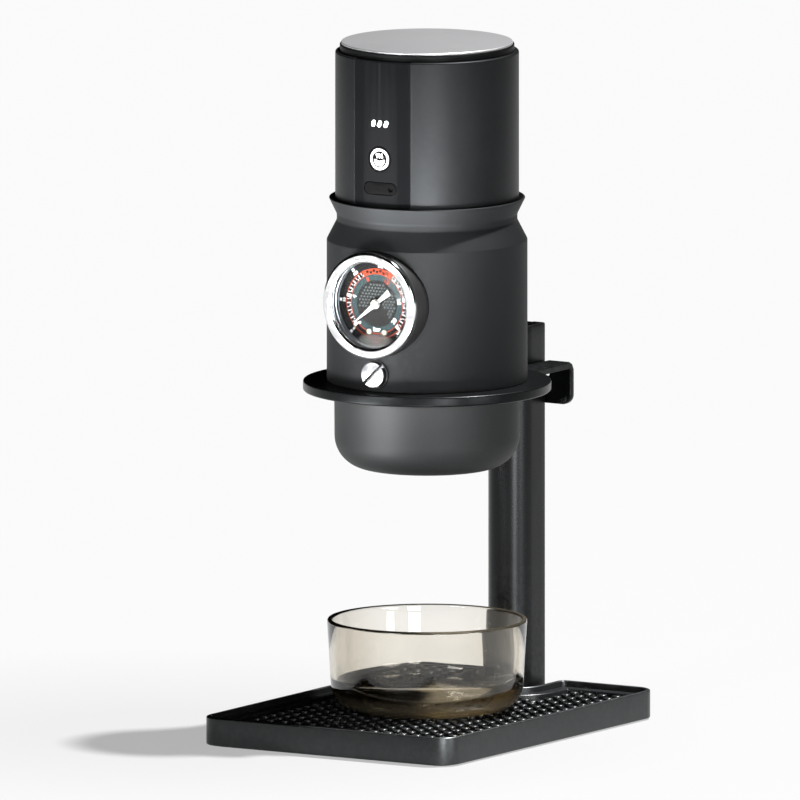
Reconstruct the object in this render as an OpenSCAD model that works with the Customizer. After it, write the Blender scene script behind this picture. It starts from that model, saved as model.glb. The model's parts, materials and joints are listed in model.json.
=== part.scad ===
// Portable electric espresso maker in a ring stand with a drip tray and a glass cup.
// Millimetres, +Z up, the front faces -Y, +X is the right-hand side seen from the front.
// Origin: on the axis of the machine, in the plane that the base pad rests on.

/* [Drip tray] */
// Width of the tray from left to right
tray_w = 116.6; // [112:0.1:124]
// Distance from the machine's axis forward to the tray's front edge
tray_front = 80.1; // [76:0.1:88]
// Distance from the machine's axis back to the tray's back edge
tray_back = 81.9; // [80.5:0.1:86]
// Height of the tray's rim above the table
tray_h = 11.8; // [11:0.1:14]
// Radius of the tray's corners in plan
tray_r = 9.3; // [6:0.1:14]
// Thickness of the tray's rim
rim_t = 1.9; // [1.5:0.1:2.4]

/* [Drip mat] */
// Width of the flat border round the studs
mat_border = 5; // [3.5:0.1:6]

/* [Column] */
// Width of the column, which is also the diameter of its round front
column_w = 19; // [18:0.1:20]
// Height of the column's top above the table
column_top = 156.2; // [152:0.1:175]
// Wall thickness of the hollow column
column_wall = 2; // [1.8:0.1:2.4]

/* [Holder] */
// Height of the ring's top face, where the machine sits
seat_z = 142.1; // [138:0.1:146]
// Outer diameter of the ring
ring_d = 99; // [96:0.5:106]
// Width of the arm and of its flap
arm_w = 41; // [38:0.5:46]
// Height of the flap, measured down from the arm's top face
flap_h = 17.5; // [17:0.1:20]

/* [Glass cup] */
// Diameter of the cup at its rim
cup_d = 79.8; // [72:0.2:82]
// Height of the cup
cup_h = 36.6; // [30:0.2:42]
// Wall thickness of the glass
glass_t = 2.2; // [1.6:0.1:3]

/* [Machine] */
// Outer diameter of the body
body_d = 80; // [79.4:0.1:81]
// Outer diameter of the brew bowl at its top
bowl_d = 74.1; // [73:0.1:74.6]
// Outer diameter of the head
head_d = 73.26; // [72.8:0.02:73.6]
// Height of the head shell
head_h = 60.6; // [60.4:0.1:70]
// Angle that the front panel spans round the head
panel_angle = 41.4; // [34:0.2:50]

/* [Pressure gauge] */
// Outer diameter of the bezel
gauge_d = 42.8; // [42:0.1:43]
// Inner diameter of the bezel, where the dial shows
gauge_view_d = 34.5; // [33:0.1:35]
// Angle of the needle's tip at rest, counter-clockwise from the right
needle_zero = 219; // [210:1:228]

/* [Hidden] */
$fn = 96;
e = 0.01;

// stand
pad_t = 1;
plate_z = 1;
plate_top = 3;
tray_floor = 4.6;
mat_band = 9.5;
stud_top = 9.4;
column_y = 65.2;
column_back = 75.9;
notch_r = 12.9;
notch_q = 3.6;
clamp_z = 129;
flap_y0 = 76.2;
flap_y1 = 79.1;
arm_top = seat_z - 1;
arm_t = 2.9;
bend_r = 4;

// machine, as heights above the table with the ring at its normal height
shift = seat_z - 142.1;
body_r = body_d / 2;
body_in = body_r - 2.4;
bowl_r = bowl_d / 2;
neck_r = body_r - 4;
neck_in = 33.6;
head_r = head_d / 2;
head_z0 = 214.2;
head_z1 = head_z0 + head_h;
panel_r = head_r - 1.3;
gz = 177.4;
gr = gauge_d / 2;
gv = gauge_view_d / 2;
relief_z = 149.1;
bowl_neck = 28.5;
cut_y = -23;
usb_z = 223.5;
led_z = 249.6;
button_z = 235.3;
cell_r = 22;
gear_x = 12.1;
pump_y = -14;

// ---- helpers ----
function arc(cx, cy, r, a0, a1, n = 8) =
  [for (i = [0:n]) [cx + r * cos(a0 + (a1 - a0) * i / n), cy + r * sin(a0 + (a1 - a0) * i / n)]];

module at_seat() translate([0, 0, shift]) children();

// a rounded rectangle, centred left to right, from y0 to y1
module rrect(hw, y0, y1, q) {
  r = max(q, 0.5);
  translate([-hw + r, y0]) square([2 * (hw - r), y1 - y0]);
  translate([-hw, y0 + r]) square([2 * hw, y1 - y0 - 2 * r]);
  for (s = [-1, 1], y = [y0 + r, y1 - r]) translate([s * (hw - r), y]) circle(r = r);
}

// a slot with round ends, centred, w long and h high
module stadium(w, h) {
  square([w - h, h], center = true);
  for (s = [-1, 1]) translate([s * (w - h) / 2, 0]) circle(d = h);
}

// the 2D child is a front view (x to the right, z up), extruded from y0 (front) to y1 (back)
module front(y0, y1) translate([0, y1, 0]) rotate([90, 0, 0]) linear_extrude(y1 - y0) children();

module tube(r1, r0, z0, z1) translate([0, 0, z0]) difference() {
  cylinder(r = r1, h = z1 - z0);
  translate([0, 0, -1]) cylinder(r = r0, h = z1 - z0 + 2);
}

module rod(r, z0, z1) translate([0, 0, z0]) cylinder(r = r, h = z1 - z0);

// ---- stand ----
module notch(o) {
  r = notch_r + o;
  q = max(notch_q - o, 0.4);
  yb = tray_back - o;
  translate([0, column_y]) circle(r = r);
  translate([-r, column_y]) square([2 * r, 40]);
  for (s = [-1, 1]) mirror([s < 0 ? 1 : 0, 0]) difference() {
    translate([r - 0.5, yb - q]) square([q + 0.5, q + 3]);
    translate([r + q, yb - q]) circle(r = q);
  }
}

// the tray's outline, drawn in by o
module tray_plan(o) difference() {
  rrect(tray_w / 2 - o, -tray_front + o, tray_back - o, tray_r - o);
  notch(o);
}

module base_pad() color("#17181a")
  linear_extrude(pad_t) rrect(tray_w / 2 - 3.5, -tray_front + 3.5, tray_back - 3.5, tray_r - 3.5);

module base_plate() color("#4a4c4f") difference() {
  translate([0, 0, plate_z]) linear_extrude(plate_top - plate_z)
    rrect(tray_w / 2 - 2, -tray_front + 2, tray_back - 2, tray_r - 2);
  for (y = [61, 71]) translate([0, y, 0]) {
    rod(2.1, 0, 4);
    translate([0, 0, plate_z - e]) cylinder(r1 = 3.6, r2 = 2.1, h = 1.5);
  }
}

module column_plan(o) {
  w = column_w / 2 - o;
  q = 1.6;
  translate([0, column_y]) circle(r = w);
  translate([-w, column_y]) square([2 * w, column_back - column_y - o - q]);
  translate([-w + q, column_y]) square([2 * (w - q), column_back - column_y - o]);
  for (s = [-1, 1]) translate([s * (w - q), column_back - o - q]) circle(r = q, $fn = 32);
}

module column() color("#2c2e31") difference() {
  translate([0, 0, plate_top]) linear_extrude(column_top - plate_top) column_plan(0);
  translate([0, 0, plate_top - 1]) linear_extrude(column_top) column_plan(column_wall);
  // shallow guide groove for the clamp screw's tip
  translate([-4, column_back - 1.2, 60]) cube([8, 3, column_top]);
}

module column_foot() color("#8a8c90") difference() {
  translate([0, 0, plate_top]) linear_extrude(25) column_plan(column_wall + 0.05);
  for (y = [61, 71]) translate([0, y, 0]) rod(2, 0, 18);
}

module column_screws() color("#9b9da1") for (y = [61, 71]) translate([0, y, 0]) difference() {
  union() {
    rod(1.95, 1.1, 15);
    translate([0, 0, 1.05]) cylinder(r1 = 3.5, r2 = 1.95, h = 1.42);
  }
  translate([0, 0, 1]) cylinder(r = 1.2, h = 0.9, $fn = 6);
}

module column_cap() color("#1b1c1e")
  translate([0, 0, column_top - 6]) linear_extrude(4.4) column_plan(column_wall + 0.05);

module drip_tray() color("#303236") difference() {
  translate([0, 0, 0.6]) linear_extrude(tray_h - 0.6) tray_plan(0);
  translate([0, 0, tray_floor]) linear_extrude(20) tray_plan(rim_t);
  translate([0, 0, -1]) linear_extrude(plate_top + 1)
    rrect(tray_w / 2 - 1.6, -tray_front + 1.6, tray_back - 1.6, tray_r - 1.6);
}

module drip_mat() color("#16171a") {
  o = rim_t + 0.2;
  // the field of studs is one plain block up to the studs' tops
  translate([0, 0, tray_floor]) linear_extrude(stud_top - tray_floor) tray_plan(o);
  translate([0, 0, stud_top - e]) linear_extrude(mat_band - stud_top + e) difference() {
    tray_plan(o);
    tray_plan(o + mat_border);
  }
}

module glass_cup() color([0.42, 0.38, 0.30, 0.45]) {
  r = cup_d / 2;
  z0 = stud_top;
  z1 = z0 + cup_h;
  q = 11;
  translate([0, 0, 0]) rotate_extrude() polygon(concat(
    [[0, z0 + 0.7], [23.5, z0 + 0.7], [24, z0], [r - 1.4 - q, z0]],
    arc(r - 1.4 - q, z0 + q, q, -80, 0),
    [[r, z1 - 0.8]],
    arc(r - 0.8, z1 - 0.8, 0.8, 0, 90, 4),
    arc(r - glass_t + 0.8, z1 - 0.8, 0.8, 90, 180, 4),
    arc(r - 1.4 - glass_t - 9, z0 + 5 + 9, 9, 0, -90),
    [[0, z0 + 4.6]]
  ));
}

module holder() color("#1d1e20") difference() {
  union() {
    rotate_extrude() polygon(concat(
      [[bowl_r + 0.55, seat_z - 4.1]],
      arc(ring_d / 2 - 0.8, seat_z - 3.3, 0.8, -90, 0, 6),
      arc(ring_d / 2 - 0.8, seat_z - 0.8, 0.8, 0, 90, 6),
      [[bowl_r + 0.55, seat_z]]
    ));
    translate([-arm_w / 2, bowl_r, arm_top - arm_t]) cube([arm_w, flap_y1 - bend_r - bowl_r, arm_t]);
    // the bend at the back of the arm
    translate([0, flap_y1 - bend_r, arm_top - bend_r]) rotate([90, 0, 90]) translate([0, 0, -arm_w / 2])
      linear_extrude(arm_w) intersection() {
        difference() {
          circle(r = bend_r);
          circle(r = bend_r - arm_t);
        }
        square(bend_r + 1);
      }
    front(flap_y0, flap_y1) difference() {
      translate([-arm_w / 2, arm_top - flap_h]) square([arm_w, flap_h - bend_r]);
      for (s = [-1, 1]) mirror([s < 0 ? 1 : 0, 0]) difference() {
        translate([arm_w / 2 - 4, arm_top - flap_h - 1]) square([6, 5]);
        translate([arm_w / 2 - 4, arm_top - flap_h + 4]) circle(r = 4);
      }
    }
  }
  translate([0, 0, seat_z - 5]) cylinder(r = bowl_r + 0.55, h = 10);
  // the gap round the column, open into the bend
  translate([0, 0, seat_z - 8]) linear_extrude(12) {
    translate([0, column_y]) circle(r = column_w / 2 + 1);
    translate([-column_w / 2 - 1, column_y]) square([column_w + 2, flap_y0 - column_y]);
  }
  translate([-column_w / 2 - 1, flap_y0 - 2, arm_top - 6.8]) cube([column_w + 2, 10, 12]);
  translate([0, 0, clamp_z + shift]) front(70, 90) circle(r = 3);
}

module clamp_washer() color("#e4e2dc") translate([0, 0, clamp_z + shift])
  front(flap_y1 + 0.1, flap_y1 + 0.8) difference() { circle(r = 5); circle(r = 3.1); }

module clamp_screw() color("#1f2022") translate([0, 0, clamp_z + shift]) {
  front(column_back - 1.1, flap_y1 + 1.5) circle(r = 2.95);
  front(flap_y1 + 0.9, flap_y1 + 5.2) difference() {
    circle(r = 5.6);
    for (i = [0:17]) rotate(i * 20) translate([5.9, 0]) circle(r = 0.6, $fn = 24);
  }
}

// ---- glass-fibre filled body and what it holds ----
module body_shell() color("#2b2f33") at_seat() difference() {
  rotate_extrude() polygon(concat(
    [[body_in, 142.1], [body_r - 0.4, 142.1], [body_r, 142.5], [body_r, 198.8], [neck_r, 206.6], [neck_r, 209]],
    [[neck_r + 3.2, 215.4]],
    arc(neck_r + 2.7, 215.4, 0.5, 0, 180, 6),
    [[neck_in, 208], [neck_in, 202.6], [29.5, 202.6], [29.5, 201.2], [body_in, 197.8]]
  ));
  translate([0, 0, gz]) front(-60, 0) circle(r = gr + 0.1);
  translate([0, 0, relief_z]) front(-60, 0) circle(r = 5.5);
  for (a = [60, 120]) rotate(a) translate([0, 0, 149.6]) rotate([0, 90, 0])
    rotate_extrude() polygon([[0, 30], [1.6, 30], [1.6, body_r - 1.5], [3.1, body_r], [3.1, body_r + 2], [0, body_r + 2]]);
}

module d_plan(r) intersection() {
  circle(r = r);
  translate([-50, cut_y]) square([100, 100]);
}

module manifold() color("#b9bbbe") at_seat() difference() {
  union() {
    translate([0, 0, 143.6]) cylinder(r = body_in - 0.2, h = 12);
    translate([0, 0, 155.6]) linear_extrude(4.4) d_plan(body_in - 0.2);
  }
  translate([0, 0, 143]) cylinder(r = bowl_neck + 0.1, h = 11);
  // screw for the screen, socket for the delivery tube, and the feed between them
  rod(2.5, 150, 155.7);
  rod(3, 157, 161);
  translate([0, 0, 158.4]) rotate([0, 120, 0]) cylinder(r = 0.9, h = 9);
  // relief bore, and the passages to it and to the gauge
  translate([0, 0, relief_z]) front(-45, -30.4) circle(r = 3);
  translate([0, -31.6, 0]) rod(0.9, relief_z, 154.8);
  translate([0, -24.8, 0]) rod(1.65, 153.8, 161);
  translate([0, 0, 154.8]) front(-31.6, -24.6) circle(r = 0.6, $fn = 24);
  for (a = [60, 120]) rotate(a) translate([0, 0, 149.6]) rotate([0, 90, 0]) translate([0, 0, 31]) cylinder(r = 1.5, h = 30);
}

module heater_plate() color("#c9a15a") at_seat() difference() {
  translate([0, 0, 160.2]) linear_extrude(3) d_plan(36.6);
  rod(8, 159, 165);
  translate([0, 0, 162.4]) for (r = [14, 20]) tube(r + 1, r - 1, 0, 2);
  translate([0, -24.8, 0]) rod(2.4, 159, 165);
}

module tank_liner() color("#c4c6c8") at_seat() difference() {
  translate([0, 0, 163.4]) linear_extrude(34) d_plan(37.2);
  translate([0, 0, 164.2]) linear_extrude(40) intersection() {
    circle(r = 36.4);
    translate([-50, cut_y + 0.8]) square([100, 100]);
  }
  rod(3.1, 160, 170);
}

module hole_rings(n, step, r) for (k = [1:n], i = [0:6 * k - 1])
  rotate(i * 60 / k) translate([k * step, 0]) circle(r = r, $fn = 16);

module shower_screen() color("#c7c9cb") at_seat() translate([0, 0, 151.9]) linear_extrude(0.7) difference() {
  circle(r = 23.8);
  circle(r = 2.6);
  difference() { hole_rings(5, 4.1, 0.55); circle(r = 5); }
}

module screen_screw() color("#d6d7d8") at_seat() difference() {
  union() {
    rod(4.2, 150.2, 151.85);
    rod(2.45, 151.8, 155.5);
  }
  translate([0, 0, 150]) cylinder(r = 1.5, h = 1.3, $fn = 6);
}

module group_seal() color("#a8483a") at_seat() tube(28.3, 24.6, 151.4, 153.9);

// two curved pads that the contact pins slide along as the head turns
module contact_rings() color("#c9a24c") at_seat() for (a = [0, 180]) rotate(a) translate([0, 0, 202.6]) linear_extrude(0.4) intersection() {
  difference() { circle(r = 30.8); circle(r = 29.6); }
  polygon([[0, 0], [60, 6], [60, -60], [40, -60]]);
}

module body_screws() color("#3a3b3d") at_seat() for (a = [60, 120]) rotate(a) translate([0, 0, 149.6]) rotate([0, 90, 0]) difference() {
  union() {
    translate([0, 0, 32]) cylinder(r = 1.45, h = 7);
    translate([0, 0, body_r - 1.45]) cylinder(r1 = 1.55, r2 = 3, h = 1.4);
  }
  translate([0, 0, body_r - 1]) cylinder(r = 1, h = 2, $fn = 6);
}

// ---- pressure gauge ----
module gauge_housing() color("#151618") at_seat() translate([0, 0, gz]) {
  front(-42.9, -27) difference() { circle(r = gr); circle(r = gr - 1.6); }
  front(-28.6, -27) difference() {
    circle(r = gr - 1);
    translate([0, -9]) circle(r = 1.7);
  }
}

module gauge_bezel() color("#e8e9ea") at_seat() translate([0, 0, gz]) {
  translate([0, -42.9, 0]) rotate([90, 0, 0]) rotate_extrude() polygon(concat(
    [[gv + 1.55, 0], [gr, 0]],
    arc(gr - 0.9, 1.6, 0.9, 0, 90, 5),
    arc(gv + 0.5, 2, 0.5, 90, 180, 4),
    [[gv, 1.1], [gv + 1.55, 1.1]]
  ));
}

module gauge_inner_ring() color("#c9cbcd") at_seat() translate([0, 0, gz]) difference() {
  front(-42.7, -36.6) circle(r = gr - 1.7);
  front(-44, -37.6) circle(r = 17.65);
  front(-44, -30) circle(r = 16.4);
}

module gauge_lens() color([0.9, 0.95, 1, 0.25]) at_seat() translate([0, 0, gz]) front(-43.95, -42.75) circle(r = gv + 1.45);

module gauge_dial() color("#1c2024") at_seat() translate([0, 0, gz]) front(-38.4, -37.6) difference() {
  circle(r = 17.55);
  circle(r = 1);
  for (s = [-1, 1]) translate([s * 3.5, -11.4]) circle(r = 0.75);
}

module gauge_movement() color("#b58f45") at_seat() translate([0, 0, gz]) {
  // frame plates, the curved pressure tube and its inlet block
  difference() {
    union() {
      front(-37.2, -36) stadium(20, 12);
      front(-37.2, -36) translate([0, -8.5]) square([10.4, 9.4], center = true);
      front(-31.2, -30) stadium(20, 12);
      for (s = [-1, 1]) translate([s * 8.2, 0, 0]) front(-36.1, -31.1) circle(r = 1.2);
      front(-30.1, -28.7) circle(r = 4);
    }
    front(-40, -33) circle(r = 0.95);
    for (s = [-1, 1]) translate([s * 3.5, 0, -11.4]) front(-40, -30) circle(r = 0.75);
  }
  front(-35.2, -32) difference() {
    circle(r = 15);
    circle(r = 13.4);
    rotate(-90) translate([0, -20]) square([20, 20]);
  }
  front(-33, -28.7) translate([0, -11]) square([6, 11.5], center = true);
}

module dial_screws() color("#d9d2bd") at_seat() for (s = [-1, 1]) translate([s * 3.5, 0, gz - 11.4]) {
  front(-39.05, -38.42) circle(r = 1.15);
  front(-38.6, -36.3) circle(r = 0.65);
}

module gauge_tube() color("#b87a4a") at_seat() {
  translate([0, -24.8, 0]) rod(1.6, 154.4, gz - 9 + 1.6);
  translate([0, 0, gz - 9]) front(-28.4, -24.8) circle(r = 1.6);
}

module gauge_needle() color("#f1f0ea") at_seat() translate([0, 0, gz]) {
  front(-39.9, -39.4) rotate(needle_zero) {
    polygon([[-8.3, -1.3], [-8.3, 1.3], [-1.6, 0.65], [2, 0.88], [12.8, 0.18], [12.8, -0.18], [2, -0.88], [-1.6, -0.65]]);
    circle(r = 2);
  }
  front(-40.7, -39.5) circle(r = 1.5);
  front(-39.6, -33.5) circle(r = 0.9);
}

// ---- relief valve ----
module relief_screw() color("#c9cacb") at_seat() translate([0, 0, relief_z]) difference() {
  union() {
    front(-42.3, -37.7) circle(r = 5.3);
    front(-37.8, -36.4) circle(r = 2.95);
  }
  translate([0, -41.7, 0]) rotate([0, -43, 0]) cube([14, 1.8, 1.5], center = true);
}

module relief_ball() color("#dedfe0") at_seat() translate([0, -32.4, relief_z]) sphere(r = 1.9, $fn = 48);

// a coil of round wire, swept as rings of eight points along the helix
module relief_spring() color("#b4b6b8") at_seat() {
  turns = 3.5;
  n = 42;
  rr = 1.3;
  wr = 0.22;
  len = 2.1;
  pts = [for (i = [0:n], j = [0:7]) let (a = 360 * turns * i / n, b = 45 * j, r = rr + wr * cos(b))
    [r * cos(a), -36.1 + len * i / n + wr * sin(b), relief_z + r * sin(a)]];
  polyhedron(pts, concat(
    [[for (j = [0:7]) j]],
    [for (i = [0:n - 1], j = [0:7]) let (a = i * 8 + j, b = i * 8 + (j + 1) % 8) [a, a + 8, b + 8, b]],
    [[for (j = [7:-1:0]) n * 8 + j]]));
}

// ---- brew bowl ----
module brew_bowl() color("#2b2f33") at_seat() difference() {
  rotate_extrude() polygon(concat(
    [[5.1, 106.9]],
    arc(bowl_r - 0.15 - 13, 119.9, 13, -90, 0),
    [[bowl_r, 140.5], [bowl_r, 142.7], [bowl_r - 0.7, 143.4], [bowl_neck, 143.4], [bowl_neck, 150.3], [25.6, 150.3], [25.6, 140.5], [bowl_r - 2.4, 134]],
    arc(bowl_r - 0.15 - 13, 119.9, 10.8, 0, -90),
    [[5.1, 109.1]]
  ));
  translate([0, 0, 145.85]) difference() {
    translate([0, 0, -0.9]) cylinder(r = 40, h = 1.8);
    translate([0, 0, -2]) cylinder(r = 26.85, h = 4);
  }
}

module bowl_seal() color("#151515") at_seat() translate([0, 0, 145.85]) rotate_extrude() translate([27.74, 0]) circle(r = 0.78, $fn = 32);

module filter_basket() color("#cfd0d2") at_seat() {
  difference() {
    union() {
      rod(25.4, 127, 151.2);
      rod(28.2, 150.4, 151.2);
    }
    rod(24.8, 127.6, 152);
    translate([0, 0, 126]) linear_extrude(3) hole_rings(5, 4.2, 0.6);
  }
}

module outlet() color("#c3c4c6") at_seat() difference() {
  union() {
    rod(5, 106.9, 111);
    rod(8, 109.15, 110.4);
  }
  rod(3, 100, 112);
}

// ---- head ----
module wedge(a) polygon([[0, 0], [60 * sin(-a), -60 * cos(a)], [60 * sin(a), -60 * cos(a)]]);

module boss_angles() for (a = [-8, 188]) rotate(a) translate([25.9, 0, 0]) children();

module leds2d(g) for (i = [-1:1]) translate([i * 2.9, led_z]) rotate(-22) stadium_v(1.6 + g, 2.7 + g);

module stadium_v(w, h) rotate(90) stadium(h, w);

module head_shell() color("#2a2c2f") at_seat() {
  difference() {
    union() {
      tube(head_r, head_r - 2.2, head_z0, head_z1);
      boss_angles() difference() {
        union() {
          rod(3.2, 217.2, 228);
          translate([1, -1.2, 217.2]) cube([8.6, 2.4, 10.8]);
        }
        rod(1.25, 217, 226);
      }
    }
    // the panel's recess
    translate([0, 0, head_z0 - 1]) linear_extrude(head_h + 2) difference() {
      wedge(panel_angle / 2 + 0.1);
      circle(r = panel_r - 0.05);
    }
    front(-60, 0) translate([0, button_z]) circle(r = 2.4);
    front(-60, 0) translate([0, usb_z]) stadium(9.9, 4.1);
    front(-60, 0) leds2d(0.3);
    // the small bevel at the top edge
    translate([0, 0, head_z1 - 0.6]) difference() {
      rod(head_r + 1, 0, 1);
      cylinder(r1 = head_r, r2 = head_r - 0.6, h = 0.6 + e);
    }
  }
}

module head_chassis() color("#3a3c3f") at_seat() difference() {
  union() {
    rotate_extrude() polygon([[0, 208.2], [29, 208.2], [29, 203.4], [33.4, 203.4], [33.4, 205.6], [31.75, 205.6], [31.75, 207.6],
      [33.4, 207.6], [33.4, 211.2], [35, 211.2], [35, 214.1], [34.2, 214.1], [34.2, 217], [32.6, 217], [32.6, 214.1], [0, 214.1]]);
  }
  rod(2.95, 200, 220);
  translate([10, 12, 0]) rod(2.25, 200, 220);
  boss_angles() { rod(1.4, 200, 220); rod(2.6, 200, 212); }
  for (x = [-30.2, 30.2]) translate([x, 0, 0]) rod(0.55, 200, 209);
  translate([-12, -40, 214.1]) cube([24, 20, 4]);
}

module chassis_screws() color("#8f9194") at_seat() boss_angles() difference() {
  union() {
    rod(2.5, 210.4, 211.95);
    rod(1.2, 211.9, 225);
  }
  translate([0, 0, 210]) cylinder(r = 1, h = 1.2, $fn = 6);
}

module head_seal() color("#151515") at_seat() translate([0, 0, 206.6]) rotate_extrude() translate([32.72, 0]) circle(r = 0.8, $fn = 32);

module front_panel() color("#121315") at_seat() difference() {
  translate([0, 0, head_z0 + 0.1]) linear_extrude(head_h - 0.3) intersection() {
    difference() { circle(r = head_r); circle(r = panel_r); }
    wedge(panel_angle / 2);
  }
  front(-60, 0) translate([0, button_z]) circle(r = 5.35);
  front(-60, 0) translate([0, usb_z]) stadium(15.3, 5.2);
  front(-60, 0) leds2d(0.1);
}

module skin(r1, r0) translate([0, 0, head_z0]) linear_extrude(head_h) difference() { circle(r = r1); circle(r = r0); }

module status_leds() color("#f4f8ff") at_seat() intersection() {
  front(-60, -28.7) leds2d(0);
  rod(head_r, 200, 280);
}

module start_button() color("#131416") at_seat() {
  intersection() {
    front(-60, -30) translate([0, button_z]) circle(r = 5.2);
    skin(head_r, panel_r + 0.55);
  }
  front(-panel_r - 0.8, -33.9) translate([0, button_z]) circle(r = 1.8);
}

module start_switch() color("#2f3133") at_seat() {
  front(-32.6, -28.7) translate([0, button_z]) square([6, 6], center = true);
  front(-33.3, -32.5) translate([0, button_z]) circle(r = 1.7);
}

module usb_cover() color("#101112") at_seat() difference() {
  intersection() {
    front(-60, -20) translate([0, usb_z]) stadium(15, 4.9);
    skin(head_r, panel_r + 0.1);
  }
  // finger dimple at the free end
  translate([5, -head_r - 0.35, usb_z]) sphere(r = 1.3, $fn = 32);
}

module usb_socket() color("#c6c8ca") at_seat() {
  difference() {
    front(-35, -28.7) translate([0, usb_z]) stadium(9.1, 3.3);
    front(-36, -29.6) translate([0, usb_z]) stadium(8.4, 2.6);
  }
  front(-34.2, -29.5) translate([0, usb_z]) square([6.6, 0.7], center = true);
}

module circuit_board() color("#1f5a3c") at_seat() difference() {
  union() {
    front(-28.6, -27) translate([-14, 217.6]) square([28, 44]);
    front(-30.2, -28.55) translate([0, 257]) square([12, 5], center = true);
    front(-29.9, -28.55) translate([8.5, 243]) square([7, 7], center = true);
    front(-29.9, -28.55) translate([-9, 243]) square([5, 8], center = true);
    front(-31, -28.55) translate([-10, 228]) circle(r = 2.5);
  }
}

module contact_pins() color("#caa24d") at_seat() for (x = [-30.2, 30.2]) translate([x, 0, 0]) rod(0.5, 203.05, 208.9);

module at_cells() for (a = [30, 90, 150]) rotate(a) translate([cell_r, 0, 0]) children();

module battery_cells() color("#3b6fb0") at_seat() at_cells() {
  rod(9.2, 218, 268);
  rod(3, 267.9, 268.9);
}

module battery_cradle() color("#44464a") at_seat() difference() {
  union() {
    for (z = [214.4, 265]) translate([0, 0, z]) linear_extrude(z < 240 ? 6 : 6) {
      at_cells() circle(r = 10.2);
      polygon([[-14, 3], [14, 3], [8, 22], [-8, 22]]);
    }
    for (a = [60, 120]) rotate(a) translate([12, 0, 0]) rod(1.6, 215, 270);
  }
  at_cells() { rod(9.3, 217.9, 269.1); rod(3.3, 200, 270); }
  translate([10, 12, 0]) rod(3, 214, 220);
  rod(5, 214, 220);
}

module pump_motor() color("#9fa1a4") at_seat() translate([0, pump_y, 0]) difference() {
  union() {
    rod(12, 227.4, 256);
    rod(5, 226.6, 227.5);
    rod(5, 255.9, 258);
  }
  rod(1.55, 220, 246);
}

module pump_plan(g) {
  circle(r = 9 + g);
  translate([gear_x, 0]) circle(r = 9 + g);
  translate([0, -9 - g]) square([gear_x, 18 + 2 * g]);
}

module pump_housing() color("#8e9194") at_seat() translate([0, pump_y, 0]) {
  difference() {
    translate([0, 0, 214.3]) linear_extrude(10) pump_plan(0);
    translate([0, 0, 216.3]) linear_extrude(10) { circle(r = 7.1); translate([gear_x, 0]) circle(r = 7.1); }
    rod(1.55, 215, 220);
    translate([gear_x / 2, 0, 220]) rotate([90, 0, 0]) cylinder(r = 1.5, h = 40, center = true);
  }
  translate([gear_x, 0, 0]) rod(1.45, 215, 224.2);
}

module pump_cover() color("#a4a6a9") at_seat() translate([0, pump_y, 0]) difference() {
  translate([0, 0, 224.35]) linear_extrude(2.1) pump_plan(0);
  rod(1.55, 220, 230);
}

// involute tooth outline, 25 degree pressure angle
function inv(a) = tan(a) * 180 / PI - a;
function gear_pts(z, m, lash) = let (
  rp = z * m / 2, rb = rp * cos(25), ra = rp + m, rf = rp - 1.2 * m,
  half = 90 / z - lash, n = 5,
  psi = function (r) half + inv(25) - inv(acos(min(1, rb / r))))
  [for (i = [0:z - 1], s = [-1, 1], k = [0:n + 1]) let (
    q = s < 0 ? k : n + 1 - k,
    r = q == 0 ? rf : rb + 0.001 + (ra - rb - 0.001) * (q - 1) / n,
    a = i * 360 / z + s * psi(max(r, rb + 0.001)))
    [r * cos(a), r * sin(a)]];

module pump_drive_gear() color("#d0d1d3") at_seat() translate([0, pump_y, 0]) {
  translate([0, 0, 216.45]) linear_extrude(7.7) polygon(gear_pts(12, 1, 0.7));
  rod(1.48, 215.2, 244);
}

module pump_driven_gear() color("#d0d1d3") at_seat() translate([gear_x, pump_y, 216.45]) rotate(15) linear_extrude(7.7) difference() {
  polygon(gear_pts(12, 1, 0.7));
  circle(r = 1.5);
}

module suction_tube() color("#d8dadb") at_seat() translate([10, 12, 0]) tube(2.2, 1.4, 166, 214.05);

module delivery_tube() color("#d8dadb") at_seat() tube(2.9, 1.9, 157.3, 214.05);

module top_cap() color("#17181a") at_seat() difference() {
  union() {
    translate([0, 0, head_z1 + 0.05]) cylinder(r = head_r - 1.83, h = 2.75);
    rod(head_r - 2.4, head_z1 - 3.2, head_z1 + 0.1);
  }
  rod(head_r - 4.2, head_z1 - 5, head_z1 - 0.4);
}

module top_disc() color("#b0b2b4") at_seat() translate([0, 0, head_z1 + 2.8]) {
  cylinder(r = head_r - 2.3, h = 0.5);
  translate([0, 0, 0.5]) cylinder(r1 = head_r - 2.3, r2 = head_r - 2.6, h = 0.3);
}

base_pad();
base_plate();
column();
column_foot();
column_screws();
column_cap();
drip_tray();
drip_mat();
glass_cup();
holder();
clamp_washer();
clamp_screw();
body_shell();
manifold();
heater_plate();
tank_liner();
shower_screen();
screen_screw();
group_seal();
contact_rings();
body_screws();
gauge_housing();
gauge_bezel();
gauge_inner_ring();
gauge_lens();
gauge_dial();
gauge_movement();
dial_screws();
gauge_tube();
gauge_needle();
relief_screw();
relief_spring();
relief_ball();
bowl_seal();
brew_bowl();
filter_basket();
outlet();
head_seal();
head_shell();
head_chassis();
chassis_screws();
front_panel();
status_leds();
start_button();
start_switch();
usb_cover();
usb_socket();
circuit_board();
contact_pins();
battery_cells();
battery_cradle();
pump_motor();
pump_housing();
pump_cover();
pump_drive_gear();
pump_driven_gear();
suction_tube();
delivery_tube();
top_cap();
top_disc();
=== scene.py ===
import bpy
import bmesh
import json
import math
import random
import numpy as np
from mathutils import Vector, Matrix, geometry


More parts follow.
